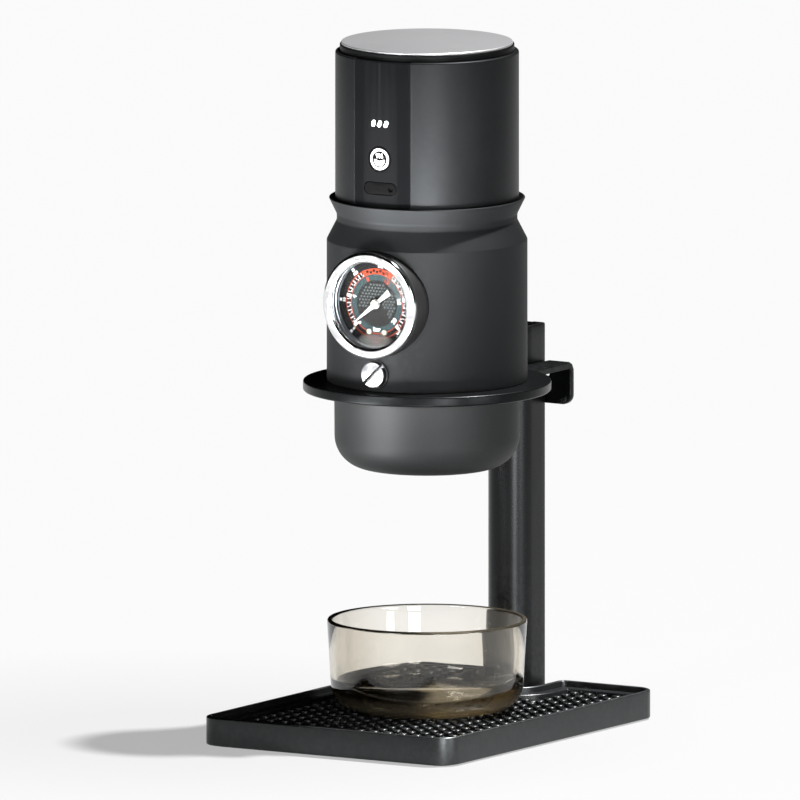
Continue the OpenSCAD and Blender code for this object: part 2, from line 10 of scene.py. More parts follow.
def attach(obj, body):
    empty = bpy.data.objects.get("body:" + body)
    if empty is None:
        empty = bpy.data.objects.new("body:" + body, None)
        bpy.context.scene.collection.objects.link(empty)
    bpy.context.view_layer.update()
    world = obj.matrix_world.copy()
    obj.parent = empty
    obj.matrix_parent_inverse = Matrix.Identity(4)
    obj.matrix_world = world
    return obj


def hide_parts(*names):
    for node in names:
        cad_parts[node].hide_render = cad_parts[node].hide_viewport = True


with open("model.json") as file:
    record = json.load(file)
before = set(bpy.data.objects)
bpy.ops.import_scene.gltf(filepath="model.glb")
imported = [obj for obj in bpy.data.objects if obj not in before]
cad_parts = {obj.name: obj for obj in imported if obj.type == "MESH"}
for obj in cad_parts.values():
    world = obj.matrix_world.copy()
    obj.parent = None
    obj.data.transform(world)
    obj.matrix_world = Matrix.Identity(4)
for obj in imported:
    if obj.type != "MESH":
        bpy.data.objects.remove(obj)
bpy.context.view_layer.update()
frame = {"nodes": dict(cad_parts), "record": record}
NODES = frame["nodes"]
MM = 0.001
random.seed(7)

# ------------------------------------------------------------------ sizes (mm)
TRAY_HW, TRAY_F, TRAY_B, TRAY_R, TRAY_H, RIM = 58.3, 80.1, 81.9, 9.3, 11.8, 1.9
NOTCH_R, NOTCH_Q, COL_Y, COL_B, COL_W, COL_TOP = 12.9, 3.6, 65.2, 75.9, 9.5, 156.2
SEAT = 142.1
BODY_R, BOWL_R, HEAD_R, PANEL_A = 40.0, 37.05, 36.63, 20.7
GZ = 177.4
HZ0, HZ1 = 214.2, 274.8
USB_Z, LED_Z, BTN_Z = 223.5, 249.6, 235.3
RELIEF_Z = 149.1
STUD_PITCH, STUD_R, STUD_TOP = 6.57, 1.9, 9.4


# ------------------------------------------------------------------ mesh tools
def new_mesh(name, verts, faces, angle=32, fix=True):
    me = bpy.data.meshes.new(name)
    me.from_pydata([tuple(float(c) * MM for c in v) for v in verts], [], [tuple(int(i) for i in f) for f in faces])
    me.validate()
    if fix:
        bm = bmesh.new()
        bm.from_mesh(me)
        bmesh.ops.remove_doubles(bm, verts=bm.verts, dist=2e-7)
        bmesh.ops.recalc_face_normals(bm, faces=bm.faces)
        bm.to_mesh(me)
        bm.free()
    me.polygons.foreach_set("use_smooth", [True] * len(me.polygons))
    me.set_sharp_from_angle(angle=math.radians(angle))
    me.update()
    return me


def add(name, me, body, replaces=(), mat=None, origin=None):
    ob = bpy.data.objects.new(name, me)
    bpy.context.scene.collection.objects.link(ob)
    if origin:
        me.transform(Matrix.Translation(-Vector(origin) * MM))
        ob.location = Vector(origin) * MM
    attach(ob, body)
    if replaces:
        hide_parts(*replaces)
    if mat is not None:
        ob.data.materials.clear()
        ob.data.materials.append(mat)
    return ob


def arc(cx, cy, r, a0, a1, n=8):
    return [(cx + r * math.cos(math.radians(a0 + (a1 - a0) * i / n)), cy + r * math.sin(math.radians(a0 + (a1 - a0) * i / n))) for i in range(n + 1)]


def rounded(pts, n=5, closed=True):
    """Points (a, b) or (a, b, radius): corners with a radius become arcs."""
    out = []
    m = len(pts)
    for i, p in enumerate(pts):
        r = p[2] if len(p) > 2 else 0
        if r <= 0 or (not closed and i in (0, m - 1)):
            out.append((p[0], p[1]))
            continue
        v = Vector((p[0], p[1]))
        a = Vector(pts[(i - 1) % m][:2]) - v
        b = Vector(pts[(i + 1) % m][:2]) - v
        la, lb = a.length, b.length
        a.normalize()
        b.normalize()
        ang = math.acos(max(-1, min(1, a.dot(b))))
        if ang > math.pi - 0.02:
            out.append((p[0], p[1]))
            continue
        t = min(r / math.tan(ang / 2), la * 0.49, lb * 0.49)
        rr = t * math.tan(ang / 2)
        c = v + (a + b).normalized() * (rr / math.sin(ang / 2))
        s, e = v + a * t - c, v + b * t - c
        sa = math.atan2(s.y, s.x)
        d = math.atan2(e.y, e.x) - sa
        d = (d + math.pi) % (2 * math.pi) - math.pi
        for k in range(n + 1):
            q = sa + d * k / n
            out.append((c.x + rr * math.cos(q), c.y + rr * math.sin(q)))
    return out


def loft(loops, closed_loop=True, closed_chain=False, cap0=False, cap1=False):
    """Quads between loops of equal length. Each loop is a list of (x, y, z)."""
    n = len(loops[0])
    verts = [tuple(p) for l in loops for p in l]
    faces = []
    m = len(loops)
    for i in range(m if closed_chain else m - 1):
        j = (i + 1) % m
        for k in range(n if closed_loop else n - 1):
            q = (k + 1) % n
            faces.append((i * n + k, i * n + q, j * n + q, j * n + k))
    if cap0:
        faces.append(tuple(range(n)))
    if cap1:
        faces.append(tuple((m - 1) * n + k for k in range(n)))
    return verts, faces


def lathe(profile, seg=192, axis="z", at=(0, 0, 0), closed=True):
    """Turns a profile of (radius, height) about an axis: z up, or y for what faces the front (height is then y)."""
    verts, faces, idx = [], [], []
    for r, h in profile:
        if r < 1e-6:
            idx.append([len(verts)] * seg)
            verts.append((0.0, 0.0, h))
        else:
            s = len(verts)
            idx.append(list(range(s, s + seg)))
            for k in range(seg):
                a = 2 * math.pi * k / seg
                verts.append((r * math.cos(a), r * math.sin(a), h))
    m = len(profile)
    for i in range(m if closed else m - 1):
        a, b = idx[i], idx[(i + 1) % m]
        for k in range(seg):
            q = (k + 1) % seg
            f = []
            for v in (a[k], a[q], b[q], b[k]):
                if v not in f:
                    f.append(v)
            if len(f) > 2:
                faces.append(tuple(f))
    if axis == "y":
        verts = [(v[0], v[2], v[1]) for v in verts]
    verts = [(v[0] + at[0], v[1] + at[1], v[2] + at[2]) for v in verts]
    return verts, faces


def merge(*parts):
    verts, faces = [], []
    for v, f in parts:
        s = len(verts)
        verts += list(v)
        faces += [tuple(i + s for i in g) for g in f]
    return verts, faces


def offset_loop(pts, d):
    """Moves a dense closed 2D loop towards its own inside (counter-clockwise loops) by d."""
    p = np.array(pts, float)
    a = p - np.roll(p, 1, 0)
    b = np.roll(p, -1, 0) - p
    a /= np.maximum(np.linalg.norm(a, axis=1), 1e-9)[:, None]
    b /= np.maximum(np.linalg.norm(b, axis=1), 1e-9)[:, None]
    na = np.stack([-a[:, 1], a[:, 0]], 1)
    nb = np.stack([-b[:, 1], b[:, 0]], 1)
    n = na + nb
    n /= np.maximum(np.linalg.norm(n, axis=1), 1e-9)[:, None]
    k = np.clip((n * na).sum(1), 0.5, 1)
    return p + n * (d / k)[:, None]


def area2(pts):
    p = np.array(pts, float)
    q = np.roll(p, -1, 0)
    return 0.5 * float((p[:, 0] * q[:, 1] - q[:, 0] * p[:, 1]).sum())


def ccw(pts):
    return list(pts) if area2(pts) > 0 else list(pts)[::-1]


def plate(outer, holes, t0, t1, bevel=0.0, n=3, mapping=None, extra=()):
    """A flat solid with holes and rounded edges, between heights t0 and t1. mapping sends (a, b, t) to (x, y, z)."""
    loops = [ccw(outer)] + [ccw(h)[::-1] for h in holes]
    verts, faces = [], []
    rims = {0: [], 1: []}
    for lp in loops:
        chain = []
        if bevel > 0:
            for k in range(n + 1):
                q = math.pi / 2 * k / n
                chain.append((bevel * (1 - math.sin(q)), t0 + bevel * (1 - math.cos(q))))
            for k in range(n + 1):
                q = math.pi / 2 * k / n
                chain.append((bevel * (1 - math.cos(q)), t1 - bevel * (1 - math.sin(q))))
        else:
            chain = [(0, t0), (0, t1)]
        m = len(lp)
        ids = []
        for d, t in chain:
            s = len(verts)
            for p in offset_loop(lp, d):
                verts.append((p[0], p[1], t))
            ids.append(range(s, s + m))
        for i in range(len(chain) - 1):
            for k in range(m):
                q = (k + 1) % m
                faces.append((ids[i][k], ids[i][q], ids[i + 1][q], ids[i + 1][k]))
        rims[0].append(list(ids[0]))
        rims[1].append(list(ids[-1]))
    for side in (0, 1):
        ring = [i for l in rims[side] for i in l]
        pts = [Vector(verts[i][:2]) for i in ring]
        edges = []
        s = 0
        for l in rims[side]:
            edges += [(s + k, s + (k + 1) % len(l)) for k in range(len(l))]
            s += len(l)
        t = t0 if side == 0 else t1
        base = len(pts)
        pts += [Vector(e) for e in extra]
        out, _, tris, orig, _, _ = geometry.delaunay_2d_cdt(pts, edges, [], 0, 1e-6)
        back = {}
        for k, o in enumerate(orig):
            src = [i for i in o if i < base]
            if src:
                back[k] = ring[src[0]]
            else:
                back[k] = len(verts)
                verts.append((out[k].x, out[k].y, t))
        polys = [np.array([verts[i][:2] for i in l]) for l in rims[side]]
        for tri in tris:
            c = sum((out[i] for i in tri), Vector((0, 0))) / 3
            if inside(c, polys[0]) and not any(inside(c, h) for h in polys[1:]):
                faces.append(tuple(back[i] for i in tri))
    if mapping:
        verts = [mapping(*v) for v in verts]
    return verts, faces


def inside(p, poly):
    x, y = p[0], p[1]
    a = poly
    b = np.roll(poly, -1, 0)
    c = (a[:, 1] > y) != (b[:, 1] > y)
    with np.errstate(divide="ignore", invalid="ignore"):
        xs = (b[:, 0] - a[:, 0]) * (y - a[:, 1]) / (b[:, 1] - a[:, 1]) + a[:, 0]
    return bool((c & (x < xs)).sum() % 2)


def front_flat(y_back):
    """Mapping for a front view: (x, z) with the thickness growing towards the front from y_back."""
    return lambda a, b, t: (a, y_back - t, b)


def on_head(r0):
    """Mapping for a front view laid on the head's round skin: thickness t grows outwards from radius r0."""
    def f(a, b, t):
        r = r0 + t
        return (a * r / HEAD_R, -math.sqrt(max(r * r - (a * r / HEAD_R) ** 2, 0)), b)
    return f


def circle(cx, cy, r, n=64):
    return [(cx + r * math.cos(2 * math.pi * k / n), cy + r * math.sin(2 * math.pi * k / n)) for k in range(n)]


def stadium(cx, cy, w, h, n=16, rot=0.0):
    """A slot shape; w and h are its full sizes and its ends are round."""
    pts = []
    if w >= h:
        pts = arc((w - h) / 2, 0, h / 2, -90, 90, n) + arc(-(w - h) / 2, 0, h / 2, 90, 270, n)
    else:
        pts = arc(0, (h - w) / 2, w / 2, 0, 180, n) + arc(0, -(h - w) / 2, w / 2, 180, 360, n)
    c, s = math.cos(math.radians(rot)), math.sin(math.radians(rot))
    return [(cx + x * c - y * s, cy + x * s + y * c) for x, y in pts]


def grid_points(x0, x1, y0, y1, step):
    nx, ny = max(1, int((x1 - x0) / step)), max(1, int((y1 - y0) / step))
    return [(x0 + (x1 - x0) * (i + 0.5) / nx, y0 + (y1 - y0) * (j + 0.5) / ny) for i in range(nx) for j in range(ny)]


def cut(ob, *tools):
    """Subtracts tool meshes from ob and applies the result."""
    for verts, faces in tools:
        t = bpy.data.objects.new("cutter", new_mesh("cutter", verts, faces))
        bpy.context.scene.collection.objects.link(t)
        m = ob.modifiers.new("cut", "BOOLEAN")
        m.operation = "DIFFERENCE"
        m.solver = "EXACT"
        m.object = t
        dg = bpy.context.evaluated_depsgraph_get()
        me = bpy.data.meshes.new_from_object(ob.evaluated_get(dg))
        ob.modifiers.clear()
        old = ob.data
        ob.data = me
        bpy.data.meshes.remove(old)
        bpy.data.objects.remove(t)
    ob.data.polygons.foreach_set("use_smooth", [True] * len(ob.data.polygons))
    ob.data.set_sharp_from_angle(angle=math.radians(32))
    return ob


def text_solid(body, size, thick, place, name="t"):
    """Plain numerals as a thin solid. place sends (a, b, t) to (x, y, z), in mm."""
    cu = bpy.data.curves.new(name, "FONT")
    cu.body = body
    cu.size = size
    cu.align_x = "CENTER"
    cu.align_y = "CENTER"
    cu.extrude = thick / 2
    cu.offset = size * 0.018
    cu.resolution_u = 3
    ob = bpy.data.objects.new(name, cu)
    bpy.context.scene.collection.objects.link(ob)
    dg = bpy.context.evaluated_depsgraph_get()
    me = bpy.data.meshes.new_from_object(ob.evaluated_get(dg))
    verts = [place(v.co.x, v.co.y, v.co.z + thick / 2) for v in me.vertices]
    faces = [tuple(p.vertices) for p in me.polygons]
    bpy.data.objects.remove(ob)
    bpy.data.curves.remove(cu)
    bpy.data.meshes.remove(me)
    return verts, faces


# ------------------------------------------------------------------ materials
class Mat:
    """A small builder for node materials. Everything is driven by object coordinates in metres."""

    def __init__(self, name):
        self.m = bpy.data.materials.new(name)
        self.m.use_nodes = True
        self.t = self.m.node_tree
        self.t.nodes.clear()
        self.out = self.n("ShaderNodeOutputMaterial")
        self.b = self.n("ShaderNodeBsdfPrincipled")
        self.l(self.b.outputs[0], self.out.inputs["Surface"])
        self.co = self.n("ShaderNodeTexCoord").outputs["Object"]

    def n(self, kind, **props):
        x = self.t.nodes.new(kind)
        for k, v in props.items():
            setattr(x, k, v)
        return x

    def l(self, a, b):
        self.t.links.new(a, b)

    def noise(self, scale, detail=3.0, rough=0.55, vec=None, dist=0.0):
        x = self.n("ShaderNodeTexNoise")
        x.inputs["Scale"].default_value = scale
        x.inputs["Detail"].default_value = detail
        x.inputs["Roughness"].default_value = rough
        x.inputs["Distortion"].default_value = dist
        self.l(vec or self.co, x.inputs["Vector"])
        return x.outputs["Fac"]

    def voronoi(self, scale, vec=None, feature="F1", out="Distance"):
        x = self.n("ShaderNodeTexVoronoi", feature=feature)
        x.inputs["Scale"].default_value = scale
        self.l(vec or self.co, x.inputs["Vector"])
        return x.outputs[out]

    def stretch(self, sx, sy, sz):
        x = self.n("ShaderNodeMapping")
        x.inputs["Scale"].default_value = (sx, sy, sz)
        self.l(self.co, x.inputs["Vector"])
        return x.outputs[0]

    def ramp(self, fac, stops):
        x = self.n("ShaderNodeValToRGB")
        e = x.color_ramp.elements
        e[0].position, e[0].color = stops[0][0], stops[0][1]
        e[1].position, e[1].color = stops[1][0], stops[1][1]
        for p, c in stops[2:]:
            k = e.new(p)
            k.color = c
        self.l(fac, x.inputs[0])
        return x.outputs[0]

    def maprange(self, v, a, b, c, d):
        x = self.n("ShaderNodeMapRange")
        for i, q in enumerate((a, b, c, d)):
            x.inputs[i + 1].default_value = q
        self.l(v, x.inputs[0])
        return x.outputs[0]

    def math(self, op, a, b=None, c=None):
        x = self.n("ShaderNodeMath", operation=op)
        for i, q in enumerate((a, b, c)):
            if q is None:
                continue
            if isinstance(q, (int, float)):
                x.inputs[i].default_value = q
            else:
                self.l(q, x.inputs[i])
        return x.outputs[0]

    def mix(self, fac, a, b, kind="RGBA", blend="MIX"):
        x = self.n("ShaderNodeMix", data_type=kind, blend_type=blend)
        ia, ib, o = (6, 7, 2) if kind == "RGBA" else (2, 3, 0)
        for i, q in ((0, fac), (ia, a), (ib, b)):
            if isinstance(q, (int, float)):
                x.inputs[i].default_value = q
            elif isinstance(q, (tuple, list)):
                x.inputs[i].default_value = (*q[:3], 1.0)
            else:
                self.l(q, x.inputs[i])
        return x.outputs[o]

    def bump(self, height, strength, distance, normal=None):
        x = self.n("ShaderNodeBump")
        x.inputs["Strength"].default_value = strength
        x.inputs["Distance"].default_value = distance
        self.l(height, x.inputs["Height"])
        if normal is not None:
            self.l(normal, x.inputs["Normal"])
        return x.outputs[0]

    def edge(self, lo=0.505, hi=0.56):
        g = self.n("ShaderNodeNewGeometry")
        return self.maprange(g.outputs["Pointiness"], lo, hi, 0.0, 1.0)

    def set(self, **kw):
        names = {"color": "Base Color", "rough": "Roughness", "metal": "Metallic", "normal": "Normal", "ior": "IOR", "spec": "Specular IOR Level",
                 "coat": "Coat Weight", "coat_rough": "Coat Roughness", "trans": "Transmission Weight", "alpha": "Alpha", "emit": "Emission Color",
                 "emit_s": "Emission Strength", "sheen": "Sheen Weight", "aniso": "Anisotropic", "sss": "Subsurface Weight"}
        for k, v in kw.items():
            s = self.b.inputs[names[k]]
            if isinstance(v, (int, float)):
                s.default_value = v
            elif isinstance(v, (tuple, list)):
                s.default_value = (*v[:3], 1.0)
            else:
                self.l(v, s)
        return self


def coat_paint(name, color, rough=0.42, metal=0.35, grain=2600, bump=0.25, fleck=0.35, spec=0.5, tint=None, wear=0.35):
    """Sand-texture powder coat: fine bright specks, patchy tone, slight wear on edges."""
    m = Mat(name)
    fine = m.noise(grain, 2.0, 0.6)
    speck = m.voronoi(grain * 0.9)
    wide = m.noise(38, 4.0, 0.6)
    c0 = tuple(c * 0.95 for c in color)
    c1 = tuple(min(1, c * 1.05) for c in color)
    col = m.mix(m.maprange(wide, 0.3, 0.7, 0, 1), c0, c1)
    bright = tuple(min(1, c * (1 + 2.6 * fleck)) for c in color)
    col = m.mix(m.maprange(fine, 0.52, 0.72, 0.0, fleck), col, bright)
    dark = tuple(c * 0.45 for c in color)
    col = m.mix(m.maprange(speck, 0.0, 0.32, fleck * 0.8, 0.0), col, dark)
    worn = tuple(min(1, c * 2.4 + 0.02) for c in color)
    edge = m.math("MULTIPLY", m.edge(), m.maprange(m.noise(420, 3, 0.6), 0.4, 0.66, 0.0, wear))
    col = m.mix(edge, col, worn)
    r = m.maprange(m.math("ADD", m.math("MULTIPLY", fine, 0.92), m.math("MULTIPLY", wide, 0.08)), 0.3, 0.7, rough - 0.04, rough + 0.05)
    h = m.math("ADD", m.math("MULTIPLY", fine, 0.7), m.math("MULTIPLY", speck, 0.5))
    m.set(color=col, rough=r, metal=metal, normal=m.bump(h, bump, 0.00012), spec=spec)
    return m.m


def plastic(name, color, rough=0.35, grain=1800, bump=0.06, spec=0.5, coat=0.0):
    m = Mat(name)
    wide = m.noise(55, 4, 0.55)
    fine = m.noise(grain, 2, 0.5)
    col = m.mix(m.maprange(wide, 0.3, 0.7, 0, 1), tuple(c * 0.85 for c in color), tuple(min(1, c * 1.18) for c in color))
    worn = tuple(min(1, c * 1.9 + 0.008) for c in color)
    col = m.mix(m.math("MULTIPLY", m.edge(), 0.3), col, worn)
    r = m.maprange(m.math("ADD", m.math("MULTIPLY", wide, 0.5), m.math("MULTIPLY", fine, 0.5)), 0.3, 0.7, rough - 0.05, rough + 0.07)
    m.set(color=col, rough=r, normal=m.bump(fine, bump, 0.00006), spec=spec, coat=coat)
    return m.m


def metal(name, color, rough=0.28, stretch=(1, 1, 40), scale=160, bump=0.05, dirt=0.25, spec=0.5):
    """Bare metal with drawn or turned marks."""
    m = Mat(name)
    lines = m.noise(scale, 3, 0.6, vec=m.stretch(*stretch))
    wide = m.noise(60, 4, 0.6)
    spots = m.noise(900, 2, 0.5)
    col = m.mix(m.maprange(wide, 0.3, 0.75, 0, 1), tuple(c * (1 - 0.12 * dirt) for c in color), color)
    col = m.mix(m.maprange(spots, 0.62, 0.8, 0, dirt * 0.4), col, tuple(c * 0.6 for c in color))
    r = m.maprange(lines, 0.3, 0.7, rough - 0.08, rough + 0.1)
    m.set(color=col, rough=r, metal=1.0, normal=m.bump(lines, bump, 0.00005), spec=spec)
    return m.m


def rubber(name, color, rough=0.5, bump=0.12, grain=1500, spec=0.5, dust=0.15):
    m = Mat(name)
    fine = m.noise(grain, 3, 0.6)
    wide = m.noise(45, 4, 0.6)
    col = m.mix(m.maprange(wide, 0.3, 0.7, 0, 1), tuple(c * 0.8 for c in color), tuple(min(1, c * 1.3) for c in color))
    col = m.mix(m.maprange(m.noise(700, 4, 0.65), 0.58, 0.8, 0, dust), col, tuple(min(1, c + 0.05) for c in color))
    r = m.maprange(fine, 0.3, 0.7, rough - 0.06, rough + 0.1)
    m.set(color=col, rough=r, normal=m.bump(fine, bump, 0.00008), spec=spec)
    return m.m


MAT = {}
MAT["shell"] = coat_paint("shell_coat", (0.0128, 0.0134, 0.0140), rough=0.58, metal=0.78, bump=0.035, fleck=0.14, grain=1900, spec=0.0, wear=0.1)
MAT["bowl"] = coat_paint("bowl_coat", (0.0372, 0.0383, 0.0390), rough=0.56, metal=0.78, bump=0.06, fleck=0.3, grain=1900, spec=0.0)
MAT["head"] = coat_paint("head_coat", (0.0103, 0.0108, 0.0113), rough=0.46, metal=0.88, bump=0.035, fleck=0.2, grain=1700, spec=0.0, wear=0.1)
MAT["tray"] = coat_paint("tray_coat", (0.053, 0.0558, 0.057), rough=0.36, metal=0.95, bump=0.06, fleck=0.2, grain=2000, spec=0.0)
MAT["column"] = coat_paint("column_coat", (0.0235, 0.0242, 0.0250), rough=0.30, metal=0.93, bump=0.015, fleck=0.05, grain=2000, spec=0.0)
MAT["holder"] = coat_paint("holder_coat", (0.0092, 0.0098, 0.0102), rough=0.3, metal=0.8, bump=0.1, fleck=0.2, grain=2600, spec=0.0)
MAT["panel"] = plastic("panel_black", (0.0012, 0.0013, 0.0015), rough=0.75, bump=0.03, spec=0.005)
MAT["cap"] = plastic("cap_black", (0.0012, 0.0013, 0.0014), rough=0.42, bump=0.03, spec=0.03)
MAT["gauge_black"] = plastic("gauge_black", (0.006, 0.006, 0.0063), rough=0.46, bump=0.03, spec=0.2)
MAT["dark"] = plastic("dark_moulded", (0.030, 0.031, 0.034), rough=0.45)
MAT["knob"] = plastic("knob_moulded", (0.014, 0.0145, 0.015), rough=0.42, bump=0.1)
MAT["nylon"] = plastic("nylon_natural", (0.66, 0.65, 0.60), rough=0.42)
MAT["cover"] = rubber("cover_rubber", (0.0014, 0.0014, 0.0015), rough=0.7, spec=0.02, dust=0.01)
MAT["mat"] = rubber("mat_rubber", (0.0042, 0.0048, 0.0054), rough=0.30, bump=0.05, dust=0.03, spec=0.42)
MAT["pad"] = rubber("pad_rubber", (0.014, 0.014, 0.015), rough=0.62)
MAT["seal"] = rubber("seal_rubber", (0.010, 0.010, 0.010), rough=0.38)
MAT["red_seal"] = rubber("seal_silicone", (0.36, 0.055, 0.03), rough=0.4)
MAT["chrome"] = metal("bezel_chrome", (0.80, 0.80, 0.81), rough=0.11, stretch=(1, 1, 1), scale=500, bump=0.015, dirt=0.1)
MAT["silver"] = metal("ring_silver", (0.30, 0.32, 0.35), rough=0.34, stretch=(1, 30, 1), scale=120, bump=0.04)
MAT["steel"] = metal("steel_satin", (0.60, 0.60, 0.61), rough=0.3, stretch=(1, 1, 30), scale=120)
MAT["zinc"] = metal("screw_zinc", (0.55, 0.56, 0.58), rough=0.32, stretch=(1, 1, 1), scale=900)
MAT["alloy"] = metal("alloy_machined", (0.62, 0.63, 0.64), rough=0.34, stretch=(1, 1, 26), scale=100)
MAT["brass"] = metal("brass_satin", (0.75, 0.55, 0.26), rough=0.3, stretch=(1, 1, 20), scale=120)
MAT["copper"] = metal("copper_bright", (0.80, 0.43, 0.28), rough=0.3, stretch=(1, 1, 20), scale=120)
MAT["plate"] = coat_paint("plate_coat", (0.02, 0.02, 0.021), rough=0.5, metal=0.2, bump=0.2, fleck=0.3)
# dark steel: black oxide on the casing screws, and painted shade on the relief screw's slot walls
MAT["oxide_and_slot_shade"] = metal("screw_oxide_and_slot_shade", (0.06, 0.06, 0.062), rough=0.38, stretch=(1, 1, 1), scale=900)
MAT["white_print"] = plastic("print_white", (0.34, 0.34, 0.335), rough=0.7, bump=0.02, spec=0.1)
MAT["orange_print"] = plastic("print_orange", (0.15, 0.017, 0.006), rough=0.7, bump=0.02, spec=0.05)
MAT["cream"] = plastic("paint_cream", (0.21, 0.195, 0.16), rough=0.5, bump=0.05, spec=0.15)
MAT["needle"] = plastic("paint_needle", (0.25, 0.25, 0.24), rough=0.5, bump=0.03, spec=0.15)
MAT["dial_black"] = plastic("dial_black", (0.0036, 0.0034, 0.0034), rough=0.8, spec=0.03)
MAT["dial_teal"] = plastic("dial_teal", (0.012, 0.0185, 0.0195), rough=0.8, spec=0.03)
MAT["dial_core"] = plastic("dial_core", (0.0070, 0.0066, 0.0064), rough=0.8, spec=0.03)
MAT["dial_dots"] = plastic("dial_dots", (0.040, 0.046, 0.047), rough=0.8, spec=0.03)


def disc_material():
    """Bead-blasted aluminium: fine isotropic grain with faint wide patches."""
    m = Mat("disc_blasted")
    fine = m.noise(3200, 2, 0.6)
    wide = m.noise(30, 4, 0.6)
    col = m.mix(m.maprange(wide, 0.3, 0.7, 0, 1), (0.255, 0.255, 0.26), (0.275, 0.275, 0.28))
    col = m.mix(m.maprange(fine, 0.6, 0.8, 0, 0.3), col, (0.34, 0.34, 0.34))
    m.set(color=col, rough=m.maprange(fine, 0.3, 0.7, 0.36, 0.5), metal=0.85, normal=m.bump(fine, 0.2, 0.00008))
    return m.m


def turned_material():
    """A faced screw head: rings of tool marks round the axis of its own origin, which spread the sheen into sectors."""
    m = Mat("steel_turned")
    sep = m.n("ShaderNodeSeparateXYZ")
    m.l(m.co, sep.inputs[0])
    rad = m.math("SQRT", m.math("ADD", m.math("MULTIPLY", sep.outputs[0], sep.outputs[0]), m.math("MULTIPLY", sep.outputs[2], sep.outputs[2])))
    ring = m.n("ShaderNodeCombineXYZ")
    m.l(rad, ring.inputs[0])
    marks = m.noise(5200, 2, 0.5, vec=ring.outputs[0])
    wide = m.noise(260, 3, 0.6)
    col = m.mix(m.maprange(wide, 0.3, 0.7, 0, 1), (0.21, 0.215, 0.225), (0.29, 0.295, 0.30))
    tan = m.n("ShaderNodeTangent", direction_type="RADIAL", axis="Y")
    m.l(tan.outputs[0], m.b.inputs["Tangent"])
    m.set(color=col, rough=m.maprange(marks, 0.3, 0.7, 0.22, 0.36), metal=1.0, normal=m.bump(marks, 0.06, 0.00004), aniso=0.75)
    return m.m


def glass_material(name, color, density, tint=(1, 1, 1), deep=(1, 1, 1), haze=(0.36, 0.31, 0.22), ior=1.49):
    """Smoked glass: its tint is painted darker where the surface turns away from the view (painted shade at the cup's
    edges), and a little cloudy in its thick foot and its rounded rim.
    """
    m = Mat(name)
    # painted shade: the tint darkens from tint to deep as the surface turns away from the view
    turn = m.n("ShaderNodeLayerWeight")
    turn.inputs[0].default_value = 0.5
    tone = m.mix(m.maprange(turn.outputs[1], 0.05, 0.4, 0, 1), tint, deep)
    m.set(color=tone, trans=1.0, ior=ior, spec=0.13)
    smudge = m.noise(90, 4, 0.6)
    m.set(rough=m.maprange(smudge, 0.35, 0.75, 0.0, 0.035))
    sep = m.n("ShaderNodeSeparateXYZ")
    m.l(m.co, sep.inputs[0])
    foot = m.maprange(sep.outputs[2], 0.0135, 0.0175, 0.12, 0.0)
    rim = m.maprange(sep.outputs[2], 0.0448, 0.0456, 0.0, 0.05)
    cloud = m.noise(320, 3, 0.6)
    share = m.math("MULTIPLY", m.math("ADD", foot, rim), m.maprange(cloud, 0.3, 0.7, 0.8, 1.15))
    dif = m.n("ShaderNodeBsdfDiffuse")
    dif.inputs["Color"].default_value = (*haze, 1)
    mx = m.n("ShaderNodeMixShader")
    m.l(share, mx.inputs[0])
    m.l(m.b.outputs[0], mx.inputs[1])
    m.l(dif.outputs[0], mx.inputs[2])
    m.l(mx.outputs[0], m.out.inputs["Surface"])
    if density > 0:
        v = m.n("ShaderNodeVolumeAbsorption")
        v.inputs["Color"].default_value = (*color, 1)
        v.inputs["Density"].default_value = density
        m.l(v.outputs[0], m.out.inputs["Volume"])
    return m.m


def lens_material():
    """Thin clear gauge lens: mostly see-through, with a clean surface reflection."""
    m = Mat("lens_clear")
    m.t.nodes.remove(m.b)
    tr = m.n("ShaderNodeBsdfTransparent")
    tr.inputs[0].default_value = (0.97, 0.98, 0.98, 1)
    gl = m.n("ShaderNodeBsdfGlossy")
    gl.inputs["Color"].default_value = (1, 1, 1, 1)
    fine = m.noise(300, 3, 0.6)
    m.l(m.maprange(fine, 0.3, 0.7, 0.0, 0.012), gl.inputs["Roughness"])
    fr = m.n("ShaderNodeFresnel")
    fr.inputs["IOR"].default_value = 1.12
    mx = m.n("ShaderNodeMixShader")
    m.l(fr.outputs[0], mx.inputs[0])
    m.l(tr.outputs[0], mx.inputs[1])
    m.l(gl.outputs[0], mx.inputs[2])
    m.l(mx.outputs[0], m.out.inputs["Surface"])
    return m.m


def led_material():
    m = Mat("led_glow")
    cells = m.noise(1400, 2, 0.5)
    col = m.mix(m.maprange(cells, 0.3, 0.7, 0, 1), (0.80, 0.88, 1.0), (1.0, 1.0, 1.0))
    m.set(color=col, rough=0.3, emit=col, emit_s=3.2)
    return m.m


def board_material():
    m = Mat("board_mask")
    tr = m.noise(700, 1, 0.3)
    col = m.mix(m.maprange(tr, 0.48, 0.52, 0, 1), (0.012, 0.075, 0.04), (0.02, 0.13, 0.07))
    m.set(color=col, rough=m.maprange(tr, 0.4, 0.6, 0.3, 0.42), normal=m.bump(tr, 0.1, 0.00005))
    return m.m


def cell_material():
    m = Mat("cell_wrap")
    w = m.noise(90, 4, 0.6)
    col = m.mix(m.maprange(w, 0.3, 0.7, 0, 1), (0.03, 0.11, 0.32), (0.05, 0.16, 0.42))
    m.set(color=col, rough=m.maprange(w, 0.3, 0.7, 0.2, 0.32), normal=m.bump(m.noise(400, 3, 0.6), 0.1, 0.0001), coat=0.3)
    return m.m


MAT["disc"] = disc_material()
MAT["turned"] = turned_material()
# deep is the darker tint painted at the cup's edges (painted shade)
MAT["glass"] = glass_material("cup_glass", (0.78, 0.69, 0.46), 80.0, tint=(0.975, 0.965, 0.95), deep=(0.77, 0.745, 0.705))
MAT["lens"] = lens_material()
MAT["led"] = led_material()
MAT["board"] = board_material()
MAT["cell"] = cell_material()

